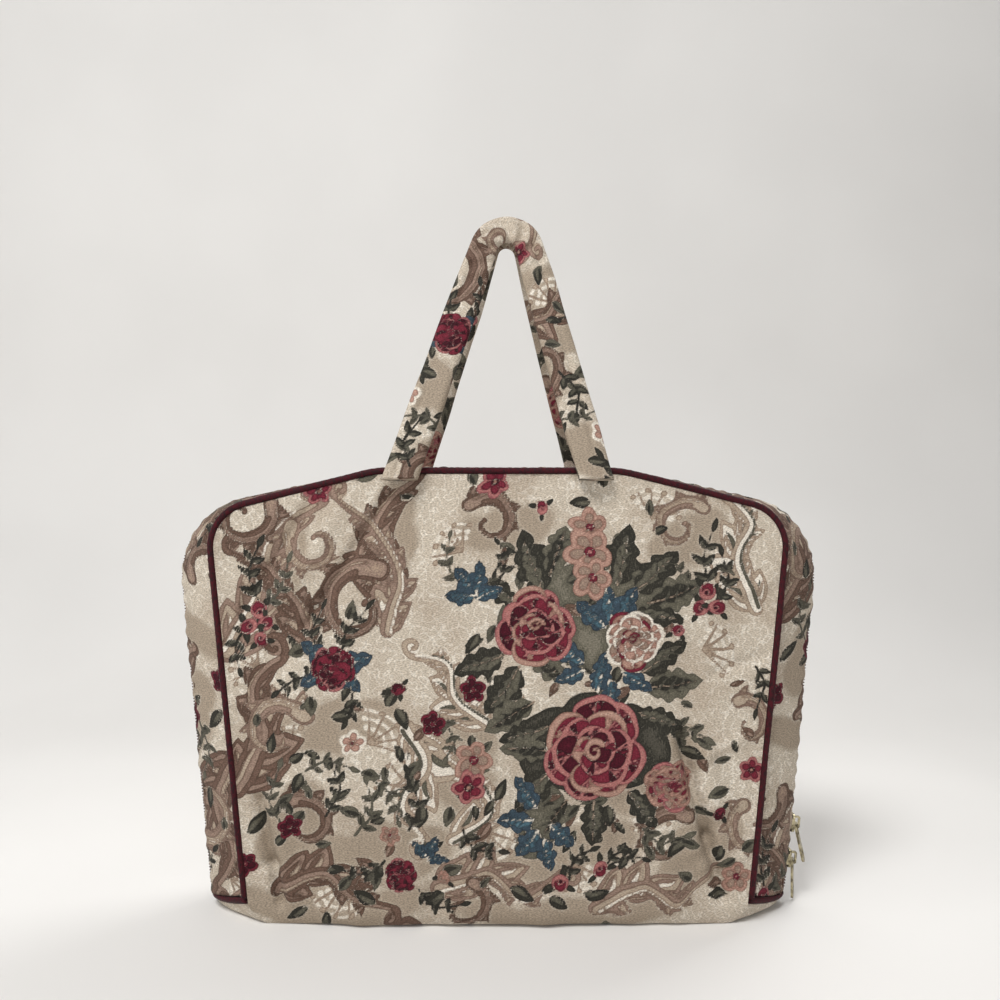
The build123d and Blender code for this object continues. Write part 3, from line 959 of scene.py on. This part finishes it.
palette = {
    "ground": "C6BAA9", "shade": "A39482", "bright": "E0D7C9", "beige": "AD9C89", "mauve": "917A6C",
    "brown": "6A5347", "olive": "302E27", "sage": "5F5B4E", "slate": "384651",
    "teal": "47636F", "pink": "A96E69", "rose": "6F2231", "wine": "420B1A", "peach": "AE897A",
}
# Tone at the rim of a yarn's patches and in the middle of wide ones
yarn_tones = {
    "beige": ("78604F", "BEAF9C"), "mauve": ("604A3F", "A9937F"), "brown": ("463429", "836B5D"),
    "olive": ("151412", "504C43"), "sage": ("3A3831", "7C7668"), "slate": ("1A2026", "4C6674"),
    "teal": ("2B3942", "7C97A1"), "pink": ("743540", "C3958C"), "rose": ("420E1B", "853643"),
    "wine": ("20050D", "561525"), "peach": ("7A564A", "C7AB99"),
}
rim_width = 0.9
middle_start = 1.4
middle_end = 4.6
tone_share = 0.85
yarn_softness = {"shade": 2.6}
thread_softness = 0.3

# Weave: noise cells in each millimetre, how far it frays and hatches the yarns, and its relief
damask_scale = 0.16
cloud_scale = 0.03
thread_scale = 1.0
hatch_scale = 0.9
speckle_scale = 1.3
relief_scale = 1.2
fray = 0.8
hatching = 14.0
speckle_tones = (0.60, 1.16)
weave_relief = 0.4

# Other materials: dark and light tones, noise cells in each metre, and relief
piping_tones = ("1F0509", "450B16")
tape_tones = ("3A1A17", "5A2F28")
teeth_tones = ("3A211C", "55342B")
brass_tones = ("6B6350", "B9AF90")
stage_tones = ("E4E2DF", "E9E7E4")
cord_scale = 900.0
teeth_scale = 260.0
brass_scale = 320.0
stage_scale = 3.0
cord_relief = 0.3
brass_relief = 0.2


def colour(code):
    """A screen colour code as a linear colour."""
    parts = [int(code[place : place + 2], 16) / 255 for place in (0, 2, 4)]
    return [c / 12.92 if c <= 0.04045 else ((c + 0.055) / 1.055) ** 2.4 for c in parts] + [1.0]


class Nodes:
    """Short names for building a material."""

    def __init__(self, name):
        self.material = bpy.data.materials.new(name)
        self.material.use_nodes = True
        self.tree = self.material.node_tree
        self.skin = self.tree.nodes["Principled BSDF"]

    def add(self, kind, **settings):
        """A new node with some of its settings."""
        node = self.tree.nodes.new(kind)
        for key, value in settings.items():
            setattr(node, key, value)
        return node

    def put(self, value, socket):
        """Sets a socket to a constant or links another socket to it."""
        if isinstance(value, bpy.types.NodeSocket):
            self.tree.links.new(value, socket)
        else:
            socket.default_value = value

    def sum(self, kind, first, second):
        """One step of arithmetic."""
        node = self.add("ShaderNodeMath", operation=kind)
        self.put(first, node.inputs[0])
        self.put(second, node.inputs[1])
        return node.outputs[0]

    def ramp(self, value, low, high, start, end):
        """A value moved smoothly from one range to another."""
        node = self.add("ShaderNodeMapRange", interpolation_type="SMOOTHSTEP")
        for name, number in (("From Min", low), ("From Max", high), ("To Min", start), ("To Max", end)):
            node.inputs[name].default_value = number
        self.put(value, node.inputs["Value"])
        return node.outputs["Result"]

    def blend(self, share, first, second, kind="MIX"):
        """A mix of two colours."""
        node = self.add("ShaderNodeMix", data_type="RGBA", blend_type=kind)
        self.put(share, node.inputs[0])
        self.put(first, node.inputs[6])
        self.put(second, node.inputs[7])
        return node.outputs[2]

    def tones(self, value, low, high, codes):
        """A colour that goes from one code to another as a value goes from low to high."""
        dark, light = (colour(code) for code in codes)
        return self.blend(self.ramp(value, low, high, 0.0, 1.0), dark, light)

    def vector(self, name):
        """A vector that the mesh holds at each point."""
        return self.add("ShaderNodeAttribute", attribute_name=name).outputs["Vector"]

    def place(self):
        """The place in the object's own frame, in metres."""
        return self.add("ShaderNodeTexCoord").outputs["Object"]

    def noise(self, place, scale, detail=2.0, stretch=(1, 1, 1)):
        """Noise at a place, from 0 to 1."""
        mapping = self.add("ShaderNodeMapping")
        self.put(place, mapping.inputs["Vector"])
        mapping.inputs["Scale"].default_value = stretch
        node = self.add("ShaderNodeTexNoise")
        self.put(mapping.outputs["Vector"], node.inputs["Vector"])
        node.inputs["Scale"].default_value = scale
        node.inputs["Detail"].default_value = detail
        return node.outputs["Fac"]

    def bump(self, height, strength, distance):
        """Fine relief on the skin."""
        node = self.add("ShaderNodeBump")
        node.inputs["Strength"].default_value = strength
        node.inputs["Distance"].default_value = distance
        self.put(height, node.inputs["Height"])
        self.put(node.outputs["Normal"], self.skin.inputs["Normal"])

    def finish(self, base, roughness, metallic=0.0, sheen=0.0):
        """Sets the skin's main values and gives back the material."""
        self.put(base, self.skin.inputs["Base Color"])
        self.put(roughness, self.skin.inputs["Roughness"])
        self.skin.inputs["Metallic"].default_value = metallic
        self.skin.inputs["Sheen Weight"].default_value = sheen
        self.skin.inputs["Specular IOR Level"].default_value = 0.5 if metallic else 0.2
        return self.material


def tapestry_material():
    """Woven cloth: a damask ground, then every yarn where its field is positive."""
    nodes = Nodes("tapestry")
    cloth = nodes.vector("cloth")
    damask = nodes.noise(cloth, damask_scale, 1.5)
    ridge = nodes.sum("ABSOLUTE", nodes.sum("SUBTRACT", damask, 0.5), 0.0)
    fine_line = nodes.ramp(ridge, 0.010, 0.036, 0.9, 0.0)
    base = nodes.blend(fine_line, colour(palette["ground"]), colour(palette["bright"]))
    cloudy = nodes.ramp(nodes.noise(cloth, cloud_scale, 2.0), 0.42, 0.68, 0.0, 0.55)
    base = nodes.blend(cloudy, base, colour(palette["beige"]))
    thread = nodes.noise(cloth, thread_scale, 1.0, (0.9, 1.9, 1))
    ragged = nodes.sum("MULTIPLY", nodes.sum("SUBTRACT", thread, 0.5), fray)
    hatch = nodes.noise(cloth, hatch_scale, 2.0, (1.7, 0.5, 1))
    hatch = nodes.sum("MULTIPLY", nodes.sum("SUBTRACT", hatch, 0.5), hatching)
    fields = []
    for letter in yarn_layers:
        parts = nodes.add("ShaderNodeSeparateXYZ")
        nodes.put(nodes.vector(f"yarn_{letter}"), parts.inputs[0])
        fields.extend(parts.outputs)
    for yarn, field in zip(yarns, fields):
        depth = nodes.sum("ADD", field, ragged)
        soft = yarn_softness.get(yarn, thread_softness)
        share = nodes.ramp(depth, -soft, soft, 0.0, 1.0)
        tone = colour(palette[yarn])
        if yarn in yarn_tones:
            rim, middle = (colour(code) for code in yarn_tones[yarn])
            hatched = nodes.sum("ADD", depth, hatch)
            inner = nodes.ramp(hatched, middle_start, middle_end, 0.0, tone_share)
            tone = nodes.blend(inner, tone, middle)
            tone = nodes.blend(nodes.ramp(depth, 0.0, rim_width, tone_share, 0.0), tone, rim)
        base = nodes.blend(share, base, tone)
    speckle = nodes.noise(cloth, speckle_scale, 2.0, (0.6, 1.5, 1))
    speckle = nodes.ramp(speckle, 0.3, 0.7, *speckle_tones)
    grey = nodes.add("ShaderNodeCombineColor")
    for socket in grey.inputs:
        nodes.put(speckle, socket)
    base = nodes.blend(1.0, base, grey.outputs[0], "MULTIPLY")
    rough = nodes.ramp(thread, 0.2, 0.8, 0.72, 0.92)
    nodes.bump(nodes.noise(cloth, relief_scale, 2.0, (0.5, 1.8, 1)), 0.35, weave_relief * MM)
    return nodes.finish(base, rough, sheen=0.02)


def corded_material(name, codes):
    """Plain woven cloth in two tones of one colour."""
    nodes = Nodes(name)
    grain = nodes.noise(nodes.place(), cord_scale, 2.0, (1, 1, 0.5))
    base = nodes.tones(grain, 0.3, 0.7, codes)
    nodes.bump(grain, 0.5, cord_relief * MM)
    return nodes.finish(base, nodes.ramp(grain, 0.2, 0.8, 0.6, 0.85), sheen=0.04)


def teeth_material():
    """Brown plastic with a slight unevenness."""
    nodes = Nodes("zip_teeth")
    grain = nodes.noise(nodes.place(), teeth_scale)
    base = nodes.tones(grain, 0.3, 0.7, teeth_tones)
    return nodes.finish(base, nodes.ramp(grain, 0.3, 0.7, 0.35, 0.5))


def brass_material():
    """Aged brass: worn bright in places and dull brown in others."""
    nodes = Nodes("pull_metal")
    wear = nodes.noise(nodes.place(), brass_scale, 4.0)
    base = nodes.tones(wear, 0.35, 0.65, brass_tones)
    nodes.bump(wear, 0.08, brass_relief * MM)
    return nodes.finish(base, nodes.ramp(wear, 0.3, 0.7, 0.5, 0.28), metallic=1.0)


def stage_material():
    """Pale matt floor and backdrop."""
    nodes = Nodes("stage")
    base = nodes.tones(nodes.noise(nodes.place(), stage_scale), 0.3, 0.7, stage_tones)
    return nodes.finish(base, 0.9)


tapestry = tapestry_material()
piping_cloth = corded_material("piping", piping_tones)
tape_cloth = corded_material("zip_tape", tape_tones)
teeth_plastic = teeth_material()
brass = brass_material()


# Body panel


def seam_half_width(z):
    """Half the width between the side seams at a height."""
    return mix(panel_base_width, panel_corner_width, z / panel_corner_height) / 2


def seam_top(x):
    """Height of the top seam above a place across the bag."""
    run = (panel_corner_width - shoulder_width) / 2
    down = np.clip((np.abs(x) - shoulder_width / 2) / run, 0, 1)
    return mix(panel_height, panel_corner_height, down)


def fold_lift(x, z, folds):
    """How far the folds lift the cloth at places on a panel."""
    lift = np.zeros_like(x)
    for ax, az, bx, bz, height, half_width in folds:
        length_squared = (bx - ax) ** 2 + (bz - az) ** 2
        along = np.clip(((x - ax) * (bx - ax) + (z - az) * (bz - az)) / length_squared, 0, 1)
        away = np.hypot(x - mix(ax, bx, along), z - mix(az, bz, along))
        lift += height * np.exp(-((away / half_width) ** 2))
    return lift


def panel_swell(x, z, folds):
    """How far a panel's outer face stands out from its seam plane."""
    across = np.clip(np.abs(x) / seam_half_width(z), 0, 1)
    up = np.clip((z - base_round) / (seam_top(x) - base_round), 0, 1)
    side_fall = 1 - 3 * across**4 + 2 * across**6
    top_fall = 1 - 3 * up**6 + 2 * up**9
    rise = np.sin(np.pi / 2 * np.clip(up / full_height_share, 0, 1))
    fill = belly * mix(base_fullness_share, 1, rise) + fold_lift(x, z, folds)
    return wall + seam_gap + side_fall * top_fall * fill


def slack(cloth, edge):
    """Loose unevenness of sewn cloth: puckers near its edge and soft waves between."""
    along = cloth.sum(axis=-1) + pucker_stray * value_noise(cloth, pucker_cell, pucker_seed)
    pucker = np.sin(2 * np.pi * along / pucker_pitch) * np.exp(-edge / pucker_reach)
    free = 1 - np.exp(-edge / pucker_reach)
    waves = slack_height * value_noise(cloth, slack_cell, slack_seed)
    waves = waves + ripple_height * value_noise(cloth, ripple_cell, ripple_seed)
    return pucker_height * pucker * np.clip(edge / hem, 0, 1) + waves * free


def body_panel():
    """The one sheet of cloth that makes the front, the base and the back."""
    _, arcs, crown = half_outline(half_depth, (0, -panel_trim, -panel_trim))
    top = resampled(np.vstack((arcs[1], arcs[2], crown)), half_columns)
    low, high = arcs[0][-1], arcs[1][0]

    def side(z):
        return mix(low[0], high[0], (z - low[1]) / (high[1] - low[1]))

    share = top[:, 0] / side(top[:, 1])
    shares = np.concatenate((share, -share[-2::-1]))
    tops = np.concatenate((top[:, 1], top[-2::-1, 1]))

    def face(rows, folds, sign):
        z = mix(base_round, tops, np.linspace(1, 0, rows)[:, None])
        x = shares * side(z)
        return np.stack((x, sign * (half_depth + panel_swell(x, z, folds)), z), axis=-1)

    front, back = face(front_rows, front_creases, -1), face(back_rows, back_creases, 1)[::-1]
    base, base_reach = [], []
    for y in np.linspace(-half_depth, half_depth, base_rows):
        line, _ = split_line(half_line(y, (0, 0, 0)), end_height(y, end_radius + binding_height))
        along = lengths_along(line)
        places = np.abs(shares) * along[-1]
        x = np.sign(shares) * np.interp(places, along, line[:, 0])
        z = np.interp(places, along, line[:, 1])
        base.append(np.column_stack((x, np.full_like(x, y), z)))
        base_reach.append(np.full_like(x, along[-1]))
    base = np.array(base)

    def rounding(edge, foot):
        rows = []
        for step in range(1, round_rows):
            turn = math.pi / 2 * step / round_rows
            x = mix(edge[:, 0], foot[:, 0], math.sin(turn))
            y = mix(foot[:, 1], edge[:, 1], math.cos(turn))
            z = mix(foot[:, 2], edge[:, 2], 1 - math.sin(turn))
            rows.append(np.column_stack((x, y, z)))
        return np.array(rows)

    front_round = rounding(front[-1], base[0])
    back_round = rounding(back[0], base[-1])[::-1]
    points = np.concatenate((front, front_round, base, back_round, back))
    steps = np.linalg.norm(np.diff(points, axis=0), axis=-1)
    down = np.vstack((np.zeros((1, points.shape[1])), np.cumsum(steps, axis=0)))
    drop = front[:, :, 2] - (front[-1, :, 2] + down[front_rows - 1] - down[:front_rows])
    across = np.concatenate(
        (
            front[:, :, 0],
            np.repeat(front[-1:, :, 0], len(front_round), axis=0),
            shares * np.array(base_reach),
            np.repeat(back[:1, :, 0], len(back_round), axis=0),
            back[:, :, 0],
        )
    )
    cloth = np.stack((across, base_round + down[front_rows - 1] - down), axis=-1)
    cloth[:front_rows, :, 1] += drop
    edge = (1 - np.abs(shares)) * np.abs(side(points[:, :, 2]))
    top_edge = np.where(np.abs(points[:, :, 1]) > half_depth, tops - points[:, :, 2], far)
    edge = np.minimum(edge, np.maximum(top_edge, 0))
    normals = grid_normals(points)
    lift = slack(cloth, edge)
    x, y, z = np.moveaxis(points, -1, 0)
    folds = np.where(y < 0, fold_lift(x, z, front_folds), fold_lift(x, z, back_folds))
    upright = np.clip((np.abs(y) - half_depth) / wall, 0, 1)
    lift = lift + folds * upright * (1 - np.exp(-edge / fold_hold))
    lift = np.where(z < hem, np.minimum(lift, 0) / 2, lift)
    points = points + normals * lift[..., None]
    points[..., 2] = np.maximum(points[..., 2], floor_clearance)
    return with_rim(points, normals, cloth, wall)


def sheet_area(points):
    """The area of a grid of points, in square metres."""
    across = np.diff(points, axis=1)[:-1]
    down = np.diff(points, axis=0)[:, :-1]
    return float(np.linalg.norm(np.cross(across, down), axis=-1).sum() * MM**2)


def cloth_piece(name, node, points, cloth, held):
    """A sheet of tapestry in the place of a solid."""
    piece = grid_piece(name, node, points, tapestry)
    weave_pattern(piece, cloth)
    width, length = np.ptp(cloth.reshape(-1, 2), axis=0) * MM
    area = sheet_area(points)
    length = max(length, area / width)


cloth_piece("tapestry_body", "body_panel", *body_panel(), "folded")


# Gusset strips, end bindings and piping


def gusset_strip(sign):
    """A strip of cloth from a piped seam to the hem beside the zip, over the whole bag."""
    stations = [(y, 0.0) for y in np.linspace(-half_depth, -zip_opening / 2 - hem / 2, strip_rows)]
    stations += [(-zip_opening / 2, -hem / 2), (-zip_opening / 2, -wall + hem / 2)]
    stations += [(-zip_opening / 2 - hem / 2, -wall), (-zip_opening / 2 - 2 * hem, -wall)]
    points = over_rows(stations)
    along = lengths_along(points[0])
    steps = np.linalg.norm(np.diff(points, axis=0), axis=-1).mean(axis=1)
    across = np.concatenate(((0,), np.cumsum(steps)))
    cloth = np.stack(np.meshgrid(across, along - along[-1] / 2, indexing="ij"), axis=-1)
    edge = np.minimum(across, 2 * hem + np.abs(across[strip_rows] - across))[:, None]
    shifted = cloth + strip_noise_shift * (1 + sign)
    wave = value_noise(shifted, ripple_cell, strip_ripple_seed) * np.exp(-edge / far)
    stray = strip_pucker_stray * value_noise(cloth, strip_pucker_cell, strip_pucker_seed)
    wrinkle = np.sin(2 * np.pi * (cloth[..., 1] + stray) / pucker_pitch)
    lift = strip_pucker_height * (wrinkle * np.exp(-edge / pucker_reach) + wave)
    lift *= np.clip(edge / hem, 0, 1)
    lift[strip_rows:] = 0
    normals = grid_normals(points)
    points, cloth = with_rim(points + normals * lift[..., None], normals, cloth, wall)
    return in_back(points, sign), cloth


for name, sign in both_sides:
    points, cloth = gusset_strip(sign)
    cloth = cloth + strip_places[name]
    cloth_piece(f"tapestry_{name}_strip", f"{name}_gusset_strip", points, cloth, "stretched")


def end_binding(side):
    """The folded strip that binds both cloth edges at a lower end of the gusset."""
    rows = []
    for y in np.linspace(-half_depth, half_depth, binding_rows):
        row = []
        for index, share in enumerate(np.linspace(0, 1, binding_columns)):
            out = mix(-binding_proud, binding_proud, math.sin(math.pi * share) ** 0.5)
            line = half_line(y, surface_outs(y, out))
            _, rest = split_line(line, end_height(y, end_radius + binding_height - binding_gap))
            band, _ = split_line(rest, end_height(y, end_radius + binding_gap))
            x, z = resampled(band, binding_columns)[index]
            row.append((side * x, y, z))
        rows.append(row)
    points = np.array(rows)
    normals = grid_normals(points)
    normals *= np.sign(np.sum(normals * (side, 0, 0)))
    return with_rim(points, normals, points[..., 1:], wall)[0]


for name, side in (("left", -1), ("right", 1)):
    points = end_binding(side)
    piece = grid_piece(f"{name}_binding_cloth", f"{name}_end_binding", points, piping_cloth)
    length = lengths_along(points[:, binding_columns // 2])[-1] * MM
    sheet_area(points) / length


def piping(sign):
    """The round cord in a seam, slightly uneven where the seam puckers."""
    outs = (0, piping_proud, piping_proud)
    line = over_line(half_depth, outs, gusset_end_height + binding_gap, tube_columns)
    tangent = unit(np.gradient(line, axis=0))
    along = lengths_along(line)
    places = np.column_stack((along, np.full_like(along, cord_noise_shift * sign)))
    sway = cord_wave * value_noise(places, cord_wave_pitch, cord_sway_seed)
    stray = cord_wave * value_noise(places, cord_wave_pitch, cord_depth_seed)
    depth = -half_depth - piping_forward + stray
    outward = right_of(tangent)
    line = line + outward * sway[:, None]
    centres = at_depth(line, depth)
    radii = piping_radius * (1 + cord_rib_share * np.sin(2 * np.pi * along / pucker_pitch * 2))
    turn = np.linspace(0, 2 * np.pi, tube_sides, endpoint=False)[:, None]
    ways = at_depth(outward, 0)[:, None] * np.cos(turn) + np.array((0, 1, 0)) * np.sin(turn)
    rings = centres[:, None] + radii[:, None, None] * ways
    return in_back(capped(rings, centres), sign)


for name, sign in both_sides:
    grid_piece(f"{name}_piping_cord", f"{name}_piping", piping(sign), piping_cloth, True)


# Handles


def handle_line():
    """The middle line of the front handle in its leaning plane, and that plane."""
    seat = half_depth + piping_forward + piping_radius + handle_seat_gap + strap_thickness / 2
    seat_height = panel_height + piping_proud + piping_radius
    tab_top = panel_height + piping_proud - piping_radius - handle_seat_gap
    meeting = (strap_thickness + handle_meeting_gap) / 2
    lean = math.atan2(seat - meeting, handle_height - seat_height)
    foot = -(seat_height - tab_top + tab_height) / math.cos(lean)
    crown = (handle_height - seat_height) / math.cos(lean) - strap_width / 2
    peak = crown
    for _ in range(peak_steps):
        half_angle = math.atan2(handle_spread, peak - foot)
        peak = crown + handle_top_radius * (1 / math.sin(half_angle) - 1)
    corners = np.array(((-handle_spread, foot), (handle_apex_offset, peak), (handle_spread, foot)))
    arc = corner_arc(*corners, handle_top_radius)
    line = resampled(np.vstack((corners[0], arc, corners[2])), handle_columns)
    origin = np.array((0, -seat, seat_height))
    up = np.array((0, math.sin(lean), math.cos(lean)))
    normal = np.array((0, -math.cos(lean), math.sin(lean)))
    return line, origin, up, normal


def handle(sign):
    """A padded strap, flattened and creased, bunched where it is gathered at the top."""
    line, origin, up, normal = handle_line()
    tangent = unit(np.gradient(line, axis=0))
    outward = -right_of(tangent)
    along = lengths_along(line)
    share = along / along[-1]
    gather = np.exp(-(((share - 0.5) / strap_gather_share) ** 2))
    half = np.array((strap_width, strap_thickness)) / 2
    turn = np.linspace(-np.pi / 2, 3 * np.pi / 2, ring_steps)
    ring = np.column_stack((np.cos(turn), np.sin(turn)))
    ring = half * np.sign(ring) * np.abs(ring) ** (strap_edge_power, strap_face_power)
    ring = resampled(ring, handle_sides + 1)
    girth = lengths_along(ring)
    girth = (girth[-1] / 2 - girth)[:-1]
    across, thick = (ring / half)[:-1].T
    places = np.column_stack((along, np.full_like(along, strap_noise_shift * sign)))
    sway = value_noise(places, strap_sway_cell, strap_sway_seed)
    half_width = half[0] * (1 - strap_pinch_share * gather + strap_sway_share * sway)
    round_place = across * strap_noise_width + thick * strap_noise_depth + strap_noise_shift * sign
    places = np.stack(np.broadcast_arrays(along[:, None], round_place), axis=-1)
    bunch = np.sin(2 * np.pi * (along[:, None] / strap_bunch_pitch + across * strap_bunch_slant))
    relief = strap_ripple_height * value_noise(places, strap_ripple_cell, strap_ripple_seed)
    relief = relief + strap_bunch_height * gather[:, None] * bunch * np.abs(thick)
    crease = np.exp(-(((across - strap_crease_share) / strap_crease_half_share) ** 2)) * (thick > 0)
    long_wave = np.sin(2 * np.pi * along / strap_crease_pitch)[:, None]
    relief = relief - strap_crease_depth * crease * mix(strap_crease_least_share, 1, long_wave)
    flat = half_width[:, None] * across
    level = np.clip(1 - np.minimum(along, along[-1] - along) / level_reach, 0, 1)
    shear = -level * outward[:, 1] / tangent[:, 1]
    limit = half[1] + strap_relief_limit
    deep = np.clip(half[1] * thick + relief * np.abs(thick), -limit, limit)
    plane = np.array(((1, 0, 0), up))
    middle = origin + line @ plane
    side_way = outward @ plane + shear[:, None] * (tangent @ plane)
    rings = middle[:, None] + flat[..., None] * side_way[:, None] + deep[..., None] * normal
    cloth = np.stack(np.broadcast_arrays(girth, along[:, None]), axis=-1)
    cloth = np.concatenate((cloth[:1], cloth, cloth[-1:]))
    return in_back(capped(rings, middle), sign), cloth


for name, sign in both_sides:
    points, cloth = handle(sign)
    piece = grid_piece(f"tapestry_{name}_handle", f"{name}_handle", points, tapestry, True)
    weave_pattern(piece, cloth + handle_places[name])


# Zip


def zip_tape(sign):
    """A woven tape under the strip's hem, as long as the zip."""
    depths = np.linspace(-tape_width, -teeth_slot / 2, tape_rows)
    return in_back(over_rows([(y, -wall - tape_gap) for y in depths]), sign)


def zip_teeth(sign):
    """A row of small blocks along the edge of a tape."""
    back = teeth_slot / 2 + teeth_width
    y = (tooth_mesh - back) / 2
    outs = surface_outs(y, teeth_height / 2 - wall)
    line = over_line(y, outs, end_height(y, end_radius) + tooth_pitch, strip_columns)
    count = int(lengths_along(line)[-1] / tooth_pitch)
    line = resampled(line, count)
    tangent = unit(np.gradient(line, axis=0))
    line = line + tangent * tooth_pitch / 4 * sign
    centres = at_depth(line, y)
    ways = (
        at_depth(tangent, 0) * tooth_length / 2,
        np.array((0, 1, 0)) * (tooth_mesh + back) / 2,
        at_depth(right_of(tangent), 0) * teeth_height / 2,
    )
    points = []
    for along, across, up in itertools.product((-1, 1), repeat=3):
        narrow = 1 - tooth_taper_share * (up > 0)
        points.append(centres + along * narrow * ways[0] + across * narrow * ways[1] + up * ways[2])
    points = np.stack(points, axis=1)
    block = ((0, 1, 3, 2), (4, 6, 7, 5), (0, 4, 5, 1), (2, 3, 7, 6), (0, 2, 6, 4), (1, 5, 7, 3))
    faces = [[8 * index + corner for corner in face] for index in range(count) for face in block]
    return in_back(points, sign), faces if sign > 0 else [face[::-1] for face in faces]


for name, sign in both_sides:
    points = zip_tape(sign)
    piece = grid_piece(f"{name}_tape_cloth", f"{name}_zip_tape", points, tape_cloth)
    sheet_area(points) / (tape_width * MM)
    points, faces = zip_teeth(sign)
    node = f"{name}_zip_teeth"
    piece = mesh_piece(f"{name}_tooth_row", node, points, faces, teeth_plastic)
    piece.data.polygons.foreach_set("use_smooth", [False] * len(faces))

for name in ("upper_slider", "lower_slider", "upper_pull", "lower_pull"):
    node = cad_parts[name]
    if not node.material_slots:
        node.data.materials.append(brass)
    for slot in node.material_slots:
        slot.material = brass


# Floor, light and camera

floor_width = 5000.0
floor_front = -2200.0
backdrop_depth = 900.0
backdrop_height = 2600.0
backdrop_bend = 500.0
view_height = 249.0
view_across = 1.24
view_distance = 560.0
view_lens = 32.41
film_width = 36.0
sky_light = 0.24
sky_seen = 0.72
sky_colour = (1, 0.995, 0.985, 1)
# Lights: name, place, size, power in watts and spread in degrees
lights = (
    ("key", (-520, -1000, 1750), 600, 27, 180),
    ("fill", (600, -1800, 500), 1400, 6.5, 180),
    ("side", (-1500, -700, 500), 900, 5, 180),
    ("back", (700, 640, 1350), 700, 2, 80),
)


def backdrop():
    """A floor that bends up into a wall behind the bag."""
    turn = np.linspace(0, np.pi / 2, arc_steps)
    bend = np.column_stack(
        (
            backdrop_depth - backdrop_bend + backdrop_bend * np.sin(turn),
            backdrop_bend - backdrop_bend * np.cos(turn),
        )
    )
    profile = np.vstack(((floor_front, 0), bend, (backdrop_depth, backdrop_height)))
    ends = (-floor_width / 2, floor_width / 2)
    points = np.array([np.column_stack((np.full(len(profile), x), profile)) for x in ends])
    mesh_object("backdrop", points, grid_faces(*points.shape[:2]), stage_material())


def area_light(name, place, size, power, spread):
    """A square soft light that faces the middle of the bag."""
    light = bpy.data.lights.new(name, "AREA")
    light.size = size * MM
    light.energy = power
    light.spread = math.radians(spread)
    lamp = bpy.data.objects.new(name, light)
    bpy.context.collection.objects.link(lamp)
    lamp.location = np.array(place) * MM
    way = np.array((0, 0, panel_height / 2)) - np.array(place)
    yaw = math.atan2(way[1], way[0]) - math.pi / 2
    pitch = math.atan2(way[2], math.hypot(way[0], way[1])) + math.pi / 2
    lamp.rotation_euler = (pitch, 0, yaw)


backdrop()
for light in lights:
    area_light(*light)

world = bpy.data.worlds.new("studio")
world.use_nodes = True
sky = world.node_tree.nodes["Background"]
sky.inputs["Color"].default_value = sky_colour
rays = world.node_tree.nodes.new("ShaderNodeLightPath")
seen = world.node_tree.nodes.new("ShaderNodeMath")
seen.operation = "MAXIMUM"
tone = world.node_tree.nodes.new("ShaderNodeMapRange")
tone.inputs["To Min"].default_value = sky_light
tone.inputs["To Max"].default_value = sky_seen
for source, target in (
    (rays.outputs["Is Camera Ray"], seen.inputs[0]),
    (rays.outputs["Is Glossy Ray"], seen.inputs[1]),
    (seen.outputs[0], tone.inputs["Value"]),
    (tone.outputs["Result"], sky.inputs["Strength"]),
):
    world.node_tree.links.new(source, target)
bpy.context.scene.world = world
bpy.context.scene.view_settings.view_transform = "Standard"

camera = bpy.data.cameras.new("camera")
camera.lens = view_lens
camera.sensor_width = film_width
viewer = bpy.data.objects.new("camera", camera)
bpy.context.collection.objects.link(viewer)
viewer.location = (view_across * MM, -view_distance * MM, view_height * MM)
viewer.rotation_euler = (math.pi / 2, 0, 0)
bpy.context.scene.camera = viewer
